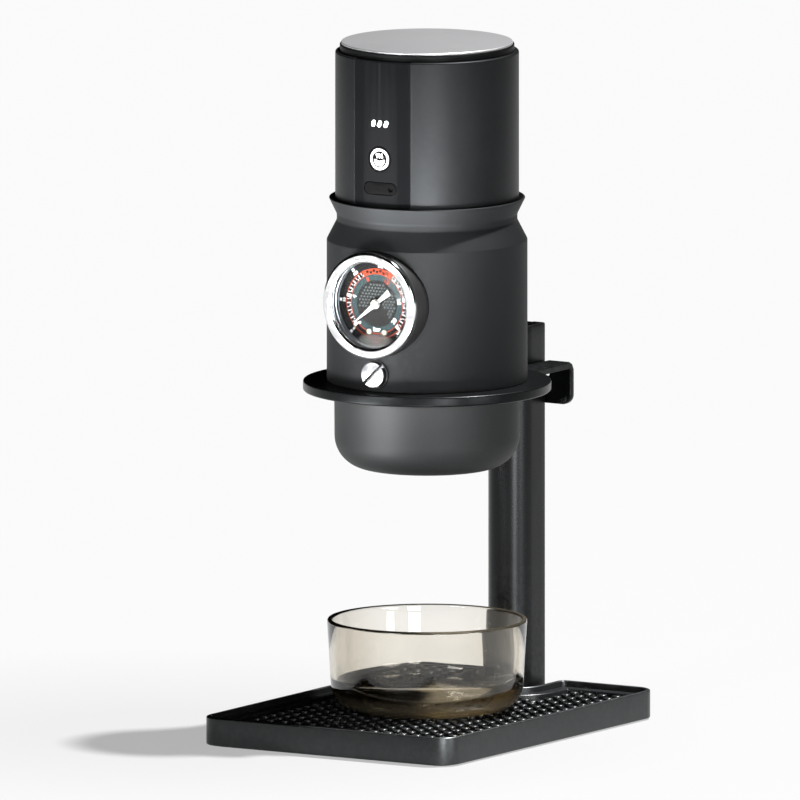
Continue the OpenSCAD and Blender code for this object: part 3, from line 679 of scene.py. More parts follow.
# every CAD node that stays gets its material by its slot
SLOT_MAT = {
    "pad_rubber": "pad", "plate_steel": "plate", "column_paint": "column", "tray_paint": "tray", "mat_rubber": "mat", "smoked_glass": "glass",
    "holder_paint": "holder", "knob_black": "knob", "nylon": "nylon", "shell_paint": "shell", "bowl_paint": "bowl", "head_paint": "head",
    "alloy": "alloy", "copper_alloy": "copper", "brass": "brass", "steel": "steel", "screw_steel": "zinc", "screw_black": "oxide_and_slot_shade",
    "turned_steel": "turned", "red_silicone": "red_seal", "black_rubber": "seal", "gauge_black": "gauge_black", "chrome": "chrome",
    "silver_ring": "silver", "gauge_glass": "lens", "dial_print": "dial_black", "cream_paint": "cream", "needle_paint": "needle",
    "panel_gloss": "panel", "led_lens": "led", "button_black": "panel", "cover_rubber": "cover", "dark_plastic": "dark", "board": "board",
    "cell_wrap": "cell", "cap_black": "cap", "disc_satin": "disc"}
for sp in frame["record"]["subparts"]:
    ob = NODES[sp["node"]]
    ob.data.materials.clear()
    ob.data.materials.append(MAT[SLOT_MAT[sp["material_slot"]]])
    ob.data.polygons.foreach_set("use_smooth", [True] * len(ob.data.polygons))
    ob.data.set_sharp_from_angle(angle=math.radians(30))


# ------------------------------------------------------------------ tray, mat, base
def tray_loop(o, z, arc_n=14):
    """The tray's outline drawn in by o, as points in a fixed order, with a flag on those in the notch."""
    hw, yf, yb, r = TRAY_HW - o, -TRAY_F + o, TRAY_B - o, max(TRAY_R - o, 0.5)
    nr, q = NOTCH_R + o, max(NOTCH_Q - o, 0.4)
    pts = []
    pts += [(x, y, 0) for x, y in arc(hw - r, yf + r, r, -90, 0, arc_n)]
    pts += [(hw, yf + r + (yb - yf - 2 * r) * k / 8, 0) for k in range(1, 8)]
    pts += [(x, y, 0) for x, y in arc(hw - r, yb - r, r, 0, 90, arc_n)]
    pts += [(nr + q + (hw - r - nr - q) * (1 - k / 4), yb, 0) for k in range(1, 4)]
    pts += [(x, y, 1) for x, y in arc(nr + q, yb - q, q, 90, 180, 8)]
    pts += [(nr, yb - q + (COL_Y - yb + q) * k / 3, 1) for k in range(1, 3)]
    pts += [(x, y, 1) for x, y in arc(0, COL_Y, nr, 0, -180, 40)]
    pts += [(-nr, COL_Y + (yb - q - COL_Y) * k / 3, 1) for k in range(1, 3)]
    pts += [(x, y, 1) for x, y in arc(-nr - q, yb - q, q, 0, 90, 8)]
    pts += [(-nr - q - (hw - r - nr - q) * k / 4, yb, 0) for k in range(1, 4)]
    pts += [(x, y, 0) for x, y in arc(-hw + r, yb - r, r, 90, 180, arc_n)]
    pts += [(-hw, yb - r - (yb - yf - 2 * r) * k / 8, 0) for k in range(1, 8)]
    pts += [(x, y, 0) for x, y in arc(-hw + r, yf + r, r, 180, 270, arc_n)]
    pts += [(-hw + r + 2 * (hw - r) * k / 6, yf, 0) for k in range(1, 6)]
    return [(x, y, max(z, 3.0) if f and z < 3.0 else z) for x, y, f in pts]


def tray_mesh():
    prof = rounded([(1.6, 3.0), (1.6, 0.6, 0.2), (0, 0.6, 0.45), (0, TRAY_H, 0.55), (RIM, TRAY_H, 0.45), (RIM, 4.6, 0.8), (RIM + 2, 4.6)], n=5, closed=False)
    v, f = loft([tray_loop(o, z) for o, z in prof], cap0=True, cap1=True)
    return new_mesh("drip_tray_shell", v, f)


add("drip_tray_shell", tray_mesh(), "tray", ["drip_tray"], MAT["tray"])


def mat_mesh():
    o = RIM + 0.12
    prof = rounded([(o + 0.4, 4.65), (o, 4.65, 0.2), (o, 9.5, 0.45), (o + 5.0, 9.5, 0.5), (o + 5.3, 6.6, 0.3), (o + 6.5, 6.6)], n=4, closed=False)
    parts = [loft([tray_loop(a, z) for a, z in prof], cap0=True, cap1=True)]
    stud = rounded([(0, 5.0), (STUD_R + 0.22, 5.0), (STUD_R + 0.22, 6.6, 0.0), (STUD_R, 7.0, 0.3), (STUD_R, STUD_TOP, 0.62), (0.95, STUD_TOP, 0.0), (0, STUD_TOP - 0.06)], n=4)
    sv, sf = lathe(stud, seg=20)
    sv = np.array(sv)
    y1 = 69.4
    for i in range(-7, 8):
        for k in range(22):
            x, y = i * STUD_PITCH, y1 - k * STUD_PITCH
            if abs(x) < 20.5 and y > 45 + 0.0 * x:
                continue
            if abs(x) < 13.2 and y > 44.5:
                continue
            if (x * x + (y - COL_Y) ** 2) ** 0.5 < NOTCH_R + 7.0:
                continue
            parts.append(((sv + np.array([x, y, 0])).tolist(), sf))
    v, f = merge(*parts)
    return new_mesh("drip_mat_studs", v, f, angle=40, fix=True)


add("drip_mat_studs", mat_mesh(), "mat", ["drip_mat"], MAT["mat"])


# ------------------------------------------------------------------ column and holder
def column_loop(o, z, groove=True):
    w = COL_W - o
    q = max(1.6 - o * 0.6, 0.3)
    pts = arc(0, COL_Y, w, 180, 360, 48)
    pts += [(w, COL_Y + (COL_B - o - q - COL_Y) * k / 3) for k in range(1, 3)]
    pts += arc(w - q, COL_B - o - q, q, 0, 90, 6)
    g = 1.2 if groove else 0.0
    pts += [(4.0, COL_B - o), (4.0, COL_B - o - g), (-4.0, COL_B - o - g), (-4.0, COL_B - o)]
    pts += arc(-w + q, COL_B - o - q, q, 90, 180, 6)
    pts += [(-w, COL_B - o - q + (COL_Y - COL_B + o + q) * k / 3) for k in range(1, 3)]
    return [(x, y, z) for x, y in pts]


def column_mesh():
    loops = [column_loop(0.3, 3.0, False), column_loop(0.0, 3.3, False), column_loop(0.0, 59.4, False), column_loop(0.0, 60.0, True)]
    loops += [column_loop(0.0, z, True) for z in (90, 120, 140, 150)]
    for o, z in [(0.0, COL_TOP - 0.55), (0.08, COL_TOP - 0.28), (0.26, COL_TOP - 0.08), (0.55, COL_TOP)]:
        loops.append(column_loop(o, z, True))
    for o, z in [(1.55, COL_TOP), (1.75, COL_TOP - 0.08), (1.9, COL_TOP - 0.3), (1.95, COL_TOP - 1.7)]:
        loops.append(column_loop(o, z, False))
    v, f = loft(loops, cap0=True, cap1=True)
    return new_mesh("column_profile", v, f)


add("column_profile", column_mesh(), "stand", ["column"], MAT["column"])


def holder_mesh():
    ring = rounded([(BOWL_R + 0.55, 138.0, 0.4), (49.48, 138.0, 0.8), (49.48, SEAT, 0.7), (BOWL_R + 0.55, SEAT, 0.4)], n=8)
    parts = [lathe(ring, seg=256)]
    # the arm, drawn flat along its own length and then bent down behind the column
    t, br, hw = 2.9, 4.0, 20.5
    top = 141.1
    y_bend = 79.1 - br
    neutral = br - t
    flat_flap = 17.5 - br
    bend_len = math.pi / 2 * br
    s_end = y_bend + bend_len + flat_flap
    start = 30.0
    outer = []
    outer += [(hw, start + (s_end - 4 - start) * k / 24) for k in range(25)]
    outer += arc(hw - 4, s_end - 4, 4, 0, 90, 10)
    outer += arc(-hw + 4, s_end - 4, 4, 90, 180, 10)
    outer += [(-hw, s_end - 4 - (s_end - 4 - start) * k / 24) for k in range(25)]
    # the gap round the column, open into the bend
    gap_end = y_bend + bend_len + 6.8 - br
    gw = COL_W + 1.0
    hole = arc(0, COL_Y, gw, 180, 360, 40)
    hole += [(gw, COL_Y + (gap_end - 1.0 - COL_Y) * k / 10) for k in range(1, 10)]
    hole += arc(gw - 1.0, gap_end - 1.0, 1.0, 0, 90, 5)
    hole += arc(-gw + 1.0, gap_end - 1.0, 1.0, 90, 180, 5)
    hole += [(-gw, gap_end - 1.0 + (COL_Y - gap_end + 1.0) * k / 10) for k in range(1, 10)]
    s_clamp = y_bend + bend_len + (top - br - 129.0)
    screw = circle(0, s_clamp, 3.0, 32)
    extra = [(x, y_bend + bend_len * k / 10) for k in range(0, 11) for x in (-20.49 + 0.8, -17.2, -14.2, -11.8, 11.8, 14.2, 17.2, 20.49 - 0.8)]

    def bend(a, s, h):
        # h is 0 at the lower (inner) face and t at the top (outer) face
        if s <= y_bend:
            return (a, s, top - t + h)
        ang = min((s - y_bend) / br, math.pi / 2)
        rr = br - t + h
        y = y_bend + rr * math.sin(ang)
        z = top - br + rr * math.cos(ang)
        if s > y_bend + bend_len:
            z -= s - y_bend - bend_len
        return (a, y, z)

    parts.append(plate(outer, [hole, screw], 0, t, 0.45, 3, bend, extra))
    v, f = merge(*parts)
    # the start of the arm lies inside the ring, so nothing of it reaches the ring's bore
    v = [(x, y, z) for x, y, z in v]
    return new_mesh("holder_ring_arm", v, f, angle=38)


holder = add("holder_ring_arm", holder_mesh(), "holder", ["holder"], MAT["holder"])
cut(holder, lathe([(0.0, 130), (BOWL_R + 0.5, 130), (BOWL_R + 0.5, 138.6), (BOWL_R + 0.5, 150), (0.0, 150)], seg=256))


# ------------------------------------------------------------------ body, bowl and cup
def body_profile():
    return rounded([
        (37.6, 142.1, 0.2), (BODY_R, 142.1, 0.35), (BODY_R, 198.8, 1.6), (36.0, 206.6, 2.2), (36.0, 209.2, 3.0),
        (39.2, 215.75, 0.5), (38.35, 215.95, 0.4), (33.6, 208.0, 1.0), (33.6, 202.6, 0.3), (29.5, 202.6, 0.3), (29.5, 201.2, 0.3), (37.6, 197.8, 0.6)], n=7)


body = add("body_casing", new_mesh("body_casing", *lathe(body_profile(), seg=256)), "machine", ["body_shell"], MAT["shell"])

def radial(mesh, a, z):
    """Stands a mesh turned about z on a horizontal radius at the angle a."""
    c, sn = math.cos(math.radians(a)), math.sin(math.radians(a))
    return [(h * c - x * sn, h * sn + x * c, z + y) for x, y, h in mesh[0]], mesh[1]


def body_screw(a):
    """One countersunk screw with a hexagon socket, set a little below the skin."""
    sk = [(0, 32.0), (1.1, 32.0), (1.42, 32.35), (1.42, 38.55), (1.62, 38.65), (2.88, 39.78), (2.8, 39.86), (1.25, 39.86), (1.12, 39.74), (0, 39.74)]
    return radial(lathe(sk, seg=64), a, 149.6)


def hex_socket(a):
    hx = [(math.cos(math.radians(60 * k)), math.sin(math.radians(60 * k))) for k in range(6)]
    return radial(loft([[(x, y, 38.85) for x, y in hx], [(x, y, 41) for x, y in hx]], cap0=True, cap1=True), a, 149.6)


cut(body, *[radial(lathe([(0, 35), (1.6, 35), (1.6, 38.5), (3.1, 40), (3.1, 42), (0, 42)], seg=64), a, 149.6) for a in (60, 120)])
bscrews = add("casing_screws", new_mesh("casing_screws", *merge(*[body_screw(a) for a in (60, 120)])), "machine", ["body_screws"], MAT["oxide_and_slot_shade"])
cut(bscrews, *[hex_socket(a) for a in (60, 120)])
cut(body,
    lathe([(0, -60), (21.5, -60), (21.5, -20), (0, -20)], seg=128, axis="y", at=(0, 0, GZ)),
    lathe([(0, -60), (5.5, -60), (5.5, -20), (0, -20)], seg=64, axis="y", at=(0, 0, RELIEF_Z)))


def bowl_profile():
    r = BOWL_R
    p = [(5.05, 107.3), (5.35, 106.95), (9.0, 106.9)] + arc(r - 0.15 - 13, 119.9, 13, -90, 0, 20)
    p += rounded([(r, 139.0), (r, 143.35, 0.5), (28.5, 143.35, 0.2), (28.5, 144.95), (26.9, 144.95), (26.9, 146.75), (28.5, 146.75), (28.5, 150.3, 0.3), (25.6, 150.3, 0.3), (25.6, 140.5), (r - 2.4, 134)], n=4, closed=False)
    p += arc(r - 0.15 - 13, 119.9, 10.8, 0, -90, 16) + [(5.05, 109.1)]
    return p


add("bowl_casing", new_mesh("bowl_casing", *lathe(bowl_profile(), seg=256)), "bowl", ["brew_bowl"], MAT["bowl"])


def cup_profile():
    r, z0, z1, g = 39.9, 9.4, 46.0, 2.2
    p = [(0, z0 + 0.75), (22.6, z0 + 0.75), (23.4, z0 + 0.55), (24.0, z0 + 0.1), (24.6, z0)]
    p += arc(r - 1.4 - 11, z0 + 11, 11, -88, 0, 22)
    p += [(r - 0.7, z0 + 24)]
    p += arc(r - 1.05, z1 - 1.05, 1.05, 0, 90, 6)[0:]
    p += arc(r - g + 1.05, z1 - 1.05, 1.05, 90, 180, 6)
    p += [(r - 0.7 - g, z0 + 24)]
    p += arc(r - 1.4 - g - 9, z0 + 14, 9, 0, -88, 20)
    p += [(0, z0 + 4.6)]
    return p


add("cup_blown", new_mesh("cup_blown", *lathe(cup_profile(), seg=256), angle=50), "cup", ["glass_cup"], MAT["glass"])


# ------------------------------------------------------------------ head
def sector_mesh(r0, r1, a0, a1, z0, z1, bev, seg, top_bevel=None):
    """A curved wall between two radii and two angles (degrees, 0 at the front, growing to the right), edges rounded."""
    tb = bev if top_bevel is None else top_bevel
    da = math.degrees(bev / r1)
    angs = [a0 + da * (1 - math.sin(math.pi / 2 * k / 3)) for k in range(4)][::-1]
    # plan loop: outer skin from a0 to a1, then the inner skin back, corners rounded on the outside
    def plan(inset):
        pts = []
        for k in range(4):
            q = math.pi / 2 * k / 3
            pts.append((r1 - inset - bev * (1 - math.sin(q)), a0 + da * (1 - math.cos(q))))
        for k in range(1, seg):
            pts.append((r1 - inset, a0 + da + (a1 - a0 - 2 * da) * k / seg))
        for k in range(4):
            q = math.pi / 2 * (1 - k / 3)
            pts.append((r1 - inset - bev * (1 - math.sin(q)), a1 - da * (1 - math.cos(q))))
        for k in range(seg + 1):
            pts.append((r0, a1 - (a1 - a0) * k / seg))
        return pts
    loops = []
    chain = [(tb * (1 - math.sin(math.pi / 2 * k / 4)), z0 + bev * (1 - math.cos(math.pi / 2 * k / 4))) for k in range(5)]
    chain = [(bev * (1 - math.sin(math.pi / 2 * k / 3)), z0 + bev * (1 - math.cos(math.pi / 2 * k / 3))) for k in range(4)]
    chain += [(tb * (1 - math.cos(math.pi / 2 * k / 4)), z1 - tb * (1 - math.sin(math.pi / 2 * k / 4))) for k in range(5)]
    for inset, z in chain:
        loops.append([(r * math.sin(math.radians(a)), -r * math.cos(math.radians(a)), z) for r, a in plan(inset)])
    return loft(loops, cap0=True, cap1=True)


head_shell = add("head_casing", new_mesh("head_casing", *merge(
    sector_mesh(34.43, HEAD_R, PANEL_A + 0.12, 360 - PANEL_A - 0.12, HZ0, HZ1, 0.07, 220, 0.75),
    sector_mesh(34.43, 35.25, -PANEL_A - 1.0, PANEL_A + 1.0, HZ0 + 0.2, HZ1 - 0.8, 0.1, 24))), "head", ["head_shell"], MAT["head"])

panel = add("panel_strip", new_mesh("panel_strip", *sector_mesh(35.35, HEAD_R - 0.02, -PANEL_A, PANEL_A, HZ0 + 0.1, HZ1 - 0.15, 0.2, 48, 0.6)), "head", ["front_panel"], MAT["panel"])


def front_prism(loop, y0, y1):
    """A straight cutter through the front: a loop in (x, z) from y0 to y1."""
    return loft([[(x, y0, z) for x, z in loop], [(x, y1, z) for x, z in loop]], cap0=True, cap1=True)


def led_loop(i, g=0.0):
    return stadium(i * 2.9, LED_Z, 1.7 + g, 2.85 + g, 10, rot=-22)


cut(panel,
    front_prism(circle(0, BTN_Z, 5.32, 72), -45, -30),
    front_prism(stadium(0, USB_Z, 15.3, 5.2, 16), -45, -30),
    *[front_prism(led_loop(i, 0.12), -45, -30) for i in (-1, 0, 1)])

# status lights: three slanted light pipes, domed a little behind the panel's face
led_parts = [plate(led_loop(i), [], -1.0, -0.05, 0.2, 3, on_head(HEAD_R)) for i in (-1, 0, 1)]
add("status_light_pipes", new_mesh("status_light_pipes", *merge(*led_parts)), "head", ["status_leds"], MAT["led"])

# start button: round cap flush with the panel, with a printed ring and a plain steaming cup
btn = plate(circle(0, BTN_Z, 5.2, 72), [], -0.7, -0.02, 0.18, 3, on_head(HEAD_R), grid_points(-4.6, 4.6, BTN_Z - 4.6, BTN_Z + 4.6, 1.2))
stem = lathe([(0, -36.0), (1.8, -36.0), (1.8, -33.9), (0, -33.9)], seg=32, axis="y", at=(0, 0, BTN_Z))
add("button_cap", new_mesh("button_cap", *merge(btn, stem)), "button", ["start_button"], MAT["panel"])


def icon_mesh():
    skin = on_head(HEAD_R - 0.03)
    z = BTN_Z
    parts = [plate(circle(0, z, 4.3, 80), [circle(0, z, 3.35, 72)], 0, 0.05, 0, 1, skin)]
    cup = rounded([(-2.55, z - 0.1, 0.15), (-2.2, z - 1.55, 0.9), (-1.1, z - 2.7, 0.6), (1.1, z - 2.7, 0.6), (2.2, z - 1.55, 0.9), (2.55, z - 0.1, 0.15)], n=4)
    parts.append(plate(cup, [], 0, 0.05, 0, 1, skin, grid_points(-1.6, 1.6, z - 2.2, z - 0.5, 0.9)))
    for x0 in (-1.15, 0.0, 1.15):
        mid = [(x0 + 0.2 * math.sin(k / 10 * 2 * math.pi), z + 0.45 + 2.0 * k / 10) for k in range(11)]
        wid = [0.34 * math.sin(math.pi * (0.15 + 0.7 * k / 10)) ** 0.5 for k in range(11)]
        parts.append(plate([(x + w, y) for (x, y), w in zip(mid, wid)] + [(x - w, y) for (x, y), w in zip(mid, wid)][::-1], [], 0, 0.05, 0, 1, skin))
    return new_mesh("button_sign", *merge(*parts))


add("button_sign", icon_mesh(), "button", (), MAT["white_print"])

# charge-port cover: soft stadium with a finger dimple at its free end
cov = plate(stadium(0, USB_Z, 15.0, 4.9, 20), [], -1.1, -0.04, 0.35, 4, on_head(HEAD_R), grid_points(-6.2, 6.2, USB_Z - 2.0, USB_Z + 2.0, 0.8))
cover = add("port_cover", new_mesh("port_cover", *cov), "usb_cover", ["usb_cover"], MAT["cover"])
dx = 5.0
dy = -math.sqrt(HEAD_R ** 2 - dx * dx)
sph = [(1.25 * math.cos(math.radians(a)), 1.25 * math.sin(math.radians(a))) for a in range(-90, 91, 10)]
cut(cover, [[(v[0] + dx, v[1] + dy - 0.45, v[2] + USB_Z) for v in lathe([(abs(a), b) for a, b in sph], seg=32)[0]], lathe([(abs(a), b) for a, b in sph], seg=32)[1]])

# top cap and satin disc
cap = rounded([(0, HZ1 - 0.4), (32.4, HZ1 - 0.4), (32.4, HZ1 - 3.2), (34.1, HZ1 - 3.2), (34.1, HZ1 + 0.02), (34.8, HZ1 + 0.05, 0.15), (34.8, 277.62, 0.5), (0, 277.62)], n=5)
add("cap_cover", new_mesh("cap_cover", *lathe(cap, seg=256)), "head", ["top_cap"], MAT["cap"])
disc = rounded([(0, 277.58), (34.25, 277.58), (34.25, 278.4, 0.4), (0, 278.4)], n=5)
add("disc_plate", new_mesh("disc_plate", *lathe(disc, seg=256)), "head", ["top_disc"], MAT["disc"])


# ------------------------------------------------------------------ gauge
def ylathe(profile, seg=160, z=GZ):
    return lathe([(r, -y) for r, y in profile], seg=seg, axis="y", at=(0, 0, z))


GV = 17.25
house = rounded([(0, 27.0), (21.4, 27.0, 0.3), (21.4, 42.75, 0.5), (19.85, 42.9), (19.85, 28.6), (0, 28.6)], n=4)
add("gauge_case", new_mesh("gauge_case", *ylathe(house)), "machine", ["gauge_housing"], MAT["gauge_black"])
bez = rounded([(GV + 1.55, 42.9, 0.1), (21.4, 42.9, 0.25), (21.4, 44.9, 0.7), (20.3, 45.4, 0.5), (18.3, 45.4, 0.5), (GV, 44.7, 0.4), (GV, 44.0, 0.1), (GV + 1.55, 44.0)], n=6)
add("gauge_rim", new_mesh("gauge_rim", *ylathe(bez, 256)), "machine", ["gauge_bezel"], MAT["chrome"])
# stepped silver ring between the lens and the dial
step = rounded([(19.7, 42.7), (19.7, 36.6), (16.4, 36.6), (16.4, 37.6), (17.62, 37.6), (17.62, 38.6, 0.1), (17.9, 38.9, 0.15), (17.9, 40.0, 0.15), (18.35, 40.3, 0.15), (18.35, 41.6, 0.15), (18.8, 41.9, 0.15), (18.8, 42.7)], n=3)
add("gauge_step_ring", new_mesh("gauge_step_ring", *ylathe(step, 192)), "machine", ["gauge_inner_ring"], MAT["silver"])
lens = rounded([(0, 43.92), (18.6, 43.92, 0.2), (18.6, 42.8, 0.2), (0, 42.8)], n=3)
add("gauge_window", new_mesh("gauge_window", *ylathe(lens, 160)), "machine", ["gauge_lens"], MAT["lens"])


def dial_point(r, a):
    return (r * math.cos(math.radians(a)), r * math.sin(math.radians(a)) + GZ)


def sector_loop(r0, r1, a0, a1, n=None):
    n = n or max(2, int(abs(a1 - a0) / 3))
    return [dial_point(r1, a0 + (a1 - a0) * k / n) for k in range(n + 1)] + [dial_point(r0, a1 - (a1 - a0) * k / n) for k in range(n + 1)]


DY = -38.4  # the dial's front face


def printed(loop, holes=(), lift=0.0):
    return plate(loop, list(holes), lift, lift + 0.05, 0, 1, front_flat(DY))


def dial_disc(r1, r0, lift, mat, name, thick=0.05, body="machine", replaces=()):
    prof = [(r0, 38.4 + lift), (r1, 38.4 + lift), (r1, 38.4 + lift + thick), (r0, 38.4 + lift + thick)]
    return add(name, new_mesh(name, *ylathe(prof, 160)), body, replaces, mat)


base = rounded([(1.0, 37.6), (17.55, 37.6), (17.55, 38.4, 0.1), (1.0, 38.4)], n=2)
add("dial_plate", new_mesh("dial_plate", *ylathe(base, 160)), "machine", ["gauge_dial"], MAT["dial_black"])
dial_disc(12.0, 9.4, 0.0, MAT["dial_teal"], "dial_band")
dial_disc(9.4, 1.0, 0.0, MAT["dial_core"], "dial_core_disc")


def bar_angle(v):
    return 222.0 - v * (222.0 + 43.0) / 20.0


def dial_prints():
    white, orange, dots = [], [], []
    # thin circles either side of the graduation
    for r in (12.05, 14.05):
        orange.append(ylathe([(r - 0.13, 38.45), (r + 0.13, 38.45), (r + 0.13, 38.52), (r - 0.13, 38.52)], 160))
    # graduation: blocks every half bar, with the working range in the second colour
    a8, a12 = bar_angle(8), bar_angle(12)
    orange.append(printed(sector_loop(12.18, 13.92, a8, a12), lift=0.05))
    black = []
    for k in range(41):
        v = k * 0.5
        a = bar_angle(v)
        w = 0.75 if k % 2 == 0 else 0.45
        if v in (0, 4, 16, 20):
            white.append(printed(sector_loop(12.0, 14.3, a - 2.6, a + 2.6, 3), lift=0.06))
        elif v in (8, 12):
            orange.append(printed(sector_loop(12.0, 14.3, a - 3.2, a + 3.2, 3), lift=0.12))
        elif 8 < v < 12:
            r0, r1 = (12.75, 13.85) if k % 2 else (12.25, 13.35)
            black.append(printed(sector_loop(r0, r1, a - 2.35, a + 2.35, 2), lift=0.12))
        else:
            if k % 2 == 0:
                white.append(printed(sector_loop(12.2, 13.9, a - w, a + w, 2), lift=0.06))
            else:
                white.append(printed(sector_loop(12.9, 13.9, a - w, a + w, 2), lift=0.06))
                white.append(printed(sector_loop(12.2, 12.75, a - 3.0, a - 1.4, 2), lift=0.06))

    def num(text, r, a, size, out, turn=None):
        turn = a - 90 if turn is None else turn
        cx, cz = r * math.cos(math.radians(a)), r * math.sin(math.radians(a))
        c, s = math.cos(math.radians(turn)), math.sin(math.radians(turn))
        out.append(text_solid(text, size, 0.05, lambda x, y, t: (cx + x * c - y * s, DY - 0.06 - t, GZ + cz + x * s + y * c)))

    num("4", 10.6, bar_angle(4) - 1, 2.5, white, 75)
    num("8", 10.35, bar_angle(8) - 2, 2.6, orange, 22)
    num("12", 10.2, bar_angle(12) + 1, 2.6, orange, -26)
    num("16", 10.3, bar_angle(16) - 1, 2.5, white, -80)
    num("20", 10.3, bar_angle(20) + 4, 2.5, white, -128 + 180)
    # outer scale
    for v, a in (("0", 225), ("50", 178), ("100", 131), ("150", 84), ("200", 38), ("250", -6), ("300", -47)):
        white.append(printed(sector_loop(16.3, 17.4, a - 2.0, a + 2.0, 2), lift=0.06))
        turn = a - 90 if -10 < a < 190 else a + 90
        num(v, 15.15, a, 1.75, white, turn)
    num("bar", 10.35, -90, 2.5, white, 0)
    num("psi", 15.4, -90, 2.1, orange, 0)
    # a plain hexagonal field of dots in the dark centre
    for i in range(-9, 10):
        for j in range(-9, 10):
            x, z = (i + 0.5 * (j % 2)) * 1.45, j * 1.26
            r = math.hypot(x, z)
            if 2.6 < r < 8.7 and (z > -1.6 or x > 4.4 and z > -5.2):
                dots.append(plate([(x + 0.42 * math.cos(math.radians(60 * k + 30)), GZ + z + 0.42 * math.sin(math.radians(60 * k + 30))) for k in range(6)], [], 0.05, 0.09, 0, 1, front_flat(DY)))
    add("dial_white_print", new_mesh("dial_white_print", *merge(*white)), "machine", (), MAT["white_print"])
    add("dial_orange_print", new_mesh("dial_orange_print", *merge(*orange)), "machine", (), MAT["orange_print"])
    add("dial_black_print", new_mesh("dial_black_print", *merge(*black)), "machine", (), MAT["dial_black"])
    add("dial_dot_print", new_mesh("dial_dot_print", *merge(*dots)), "machine", (), MAT["dial_dots"])


dial_prints()


def screws_mesh():
    parts = []
    for s in (-1, 1):
        prof = rounded([(0, 38.4), (1.12, 38.4), (1.12, 39.0, 0.3), (0, 39.05)], n=4)
        v, f = lathe([(r, -y) for r, y in prof], seg=40, axis="y", at=(s * 3.5, 0, GZ - 11.4))
        parts.append((v, f))
    return new_mesh("dial_fixings", *merge(*parts))


fix = add("dial_fixings", screws_mesh(), "machine", ["dial_screws"], MAT["cream"])
cut(fix, *[front_prism([(s * 3.5 + a * math.cos(math.radians(80)) - b * math.sin(math.radians(80)), GZ - 11.4 + a * math.sin(math.radians(80)) + b * math.cos(math.radians(80))) for a, b in ((-2, -0.13), (2, -0.13), (2, 0.13), (-2, 0.13))], -40, -38.85) for s in (-1, 1)])
# zero stop pin
zx, zz = dial_point(11.0, 226)
add("dial_stop_pin", new_mesh("dial_stop_pin", *lathe([(r, -y) for r, y in rounded([(0, 38.4), (0.62, 38.4), (0.62, 39.3, 0.25), (0, 39.35)], n=4)], seg=32, axis="y", at=(zx, 0, zz))), "machine", (), MAT["needle"])


def needle_mesh():
    a0 = math.radians(219)
    out = [(-8.3, -1.28), (-8.3, 1.28), (-1.6, 0.62), (0, 0.9), (2.0, 0.86), (12.7, 0.16), (12.7, -0.16), (2.0, -0.86), (0, -0.9), (-1.6, -0.62)]
    out = [(x * math.cos(a0) - y * math.sin(a0), x * math.sin(a0) + y * math.cos(a0) + GZ) for x, y in out]
    parts = [plate(out, [], 0, 0.4, 0.06, 2, front_flat(-39.45))]
    hub = rounded([(0, 39.4), (1.95, 39.4), (1.95, 39.95, 0.15), (1.7, 40.25, 0.2), (1.7, 40.75, 0.3), (0, 40.85)], n=4)
    parts.append(ylathe(hub, 64))
    parts.append(ylathe([(0, 33.5), (0.9, 33.5), (0.9, 39.5), (0, 39.5)], 24))
    return new_mesh("needle_arm", *merge(*parts))


add("needle_arm", needle_mesh(), "needle", ["gauge_needle"], MAT["needle"])
add("needle_hub", new_mesh("needle_hub", *ylathe(rounded([(0, 39.9), (1.85, 39.9), (1.85, 40.2, 0.1), (1.62, 40.3, 0.2), (1.62, 40.8, 0.3), (0, 40.95)], n=4), 64)), "needle", (), MAT["cream"])

# slotted relief screw
head_prof = rounded([(0, 36.5), (2.95, 36.5), (2.95, 37.7), (5.3, 37.7), (5.3, 42.3, 0.45), (0, 42.3)], n=5)
c43, s43 = math.cos(math.radians(43)), math.sin(math.radians(43))
rel = add("relief_head", new_mesh("relief_head", *lathe([(r, -y) for r, y in head_prof], seg=96, axis="y", at=(0, 0, RELIEF_Z))), "relief", ["relief_screw"], MAT["turned"], origin=(0, 0, RELIEF_Z))
cut(rel, front_prism([(a * c43 - b * s43, RELIEF_Z + a * s43 + b * c43) for a, b in ((-8, -0.72), (8, -0.72), (8, 0.72), (-8, 0.72))], -45, -39.6))
# painted shade: the slot's walls and floor take the dark steel, standing in for the shade inside the recess
rel.data.materials.append(MAT["oxide_and_slot_shade"])
for pf in rel.data.polygons:
    c = pf.center / MM
    b = -c.x * s43 + c.z * c43
    if c.y > -42.2 and c.y < -39.55 and abs(b) < 0.73 and (c.y > -39.65 or abs(pf.normal.y) < 0.3) and math.hypot(c.x, c.z) < 5.25:
        pf.material_index = 1
add("relief_collar", new_mesh("relief_collar", *ylathe(rounded([(5.38, 38.5), (6.1, 38.5), (6.1, 40.4, 0.3), (5.38, 40.4, 0.2)], n=4), 96, RELIEF_Z)), "machine", (), MAT["gauge_black"])

# knurled clamp screw behind the flap
def knob_mesh():
    n, m = 18, 8
    def loop(k, y):
        pts = []
        for i in range(n * m):
            a = 2 * math.pi * i / (n * m)
            r = 5.6 * k - 0.45 * max(0.0, math.cos(n * a)) ** 2 * (1 if k > 0.5 else 0)
            pts.append((r * math.cos(a), y, 129.0 + r * math.sin(a)))
        return pts
    loops = [loop(0.6, 80.0), loop(0.93, 80.0), loop(0.99, 80.3), loop(1.0, 80.7), loop(1.0, 83.5), loop(0.97, 84.0), loop(0.9, 84.3), loop(0.6, 84.3), loop(0.55, 84.0)]
    v, f = loft(loops, cap0=True, cap1=True)
    shank = lathe([(0, 74.8), (2.6, 74.8), (2.95, 75.2), (2.95, 80.5), (0, 80.5)], seg=48, axis="y", at=(0, 0, 129.0))
    return new_mesh("clamp_knob", *merge((v, f), shank))


add("clamp_knob", knob_mesh(), "clamp_screw", ["clamp_screw"], MAT["knob"])


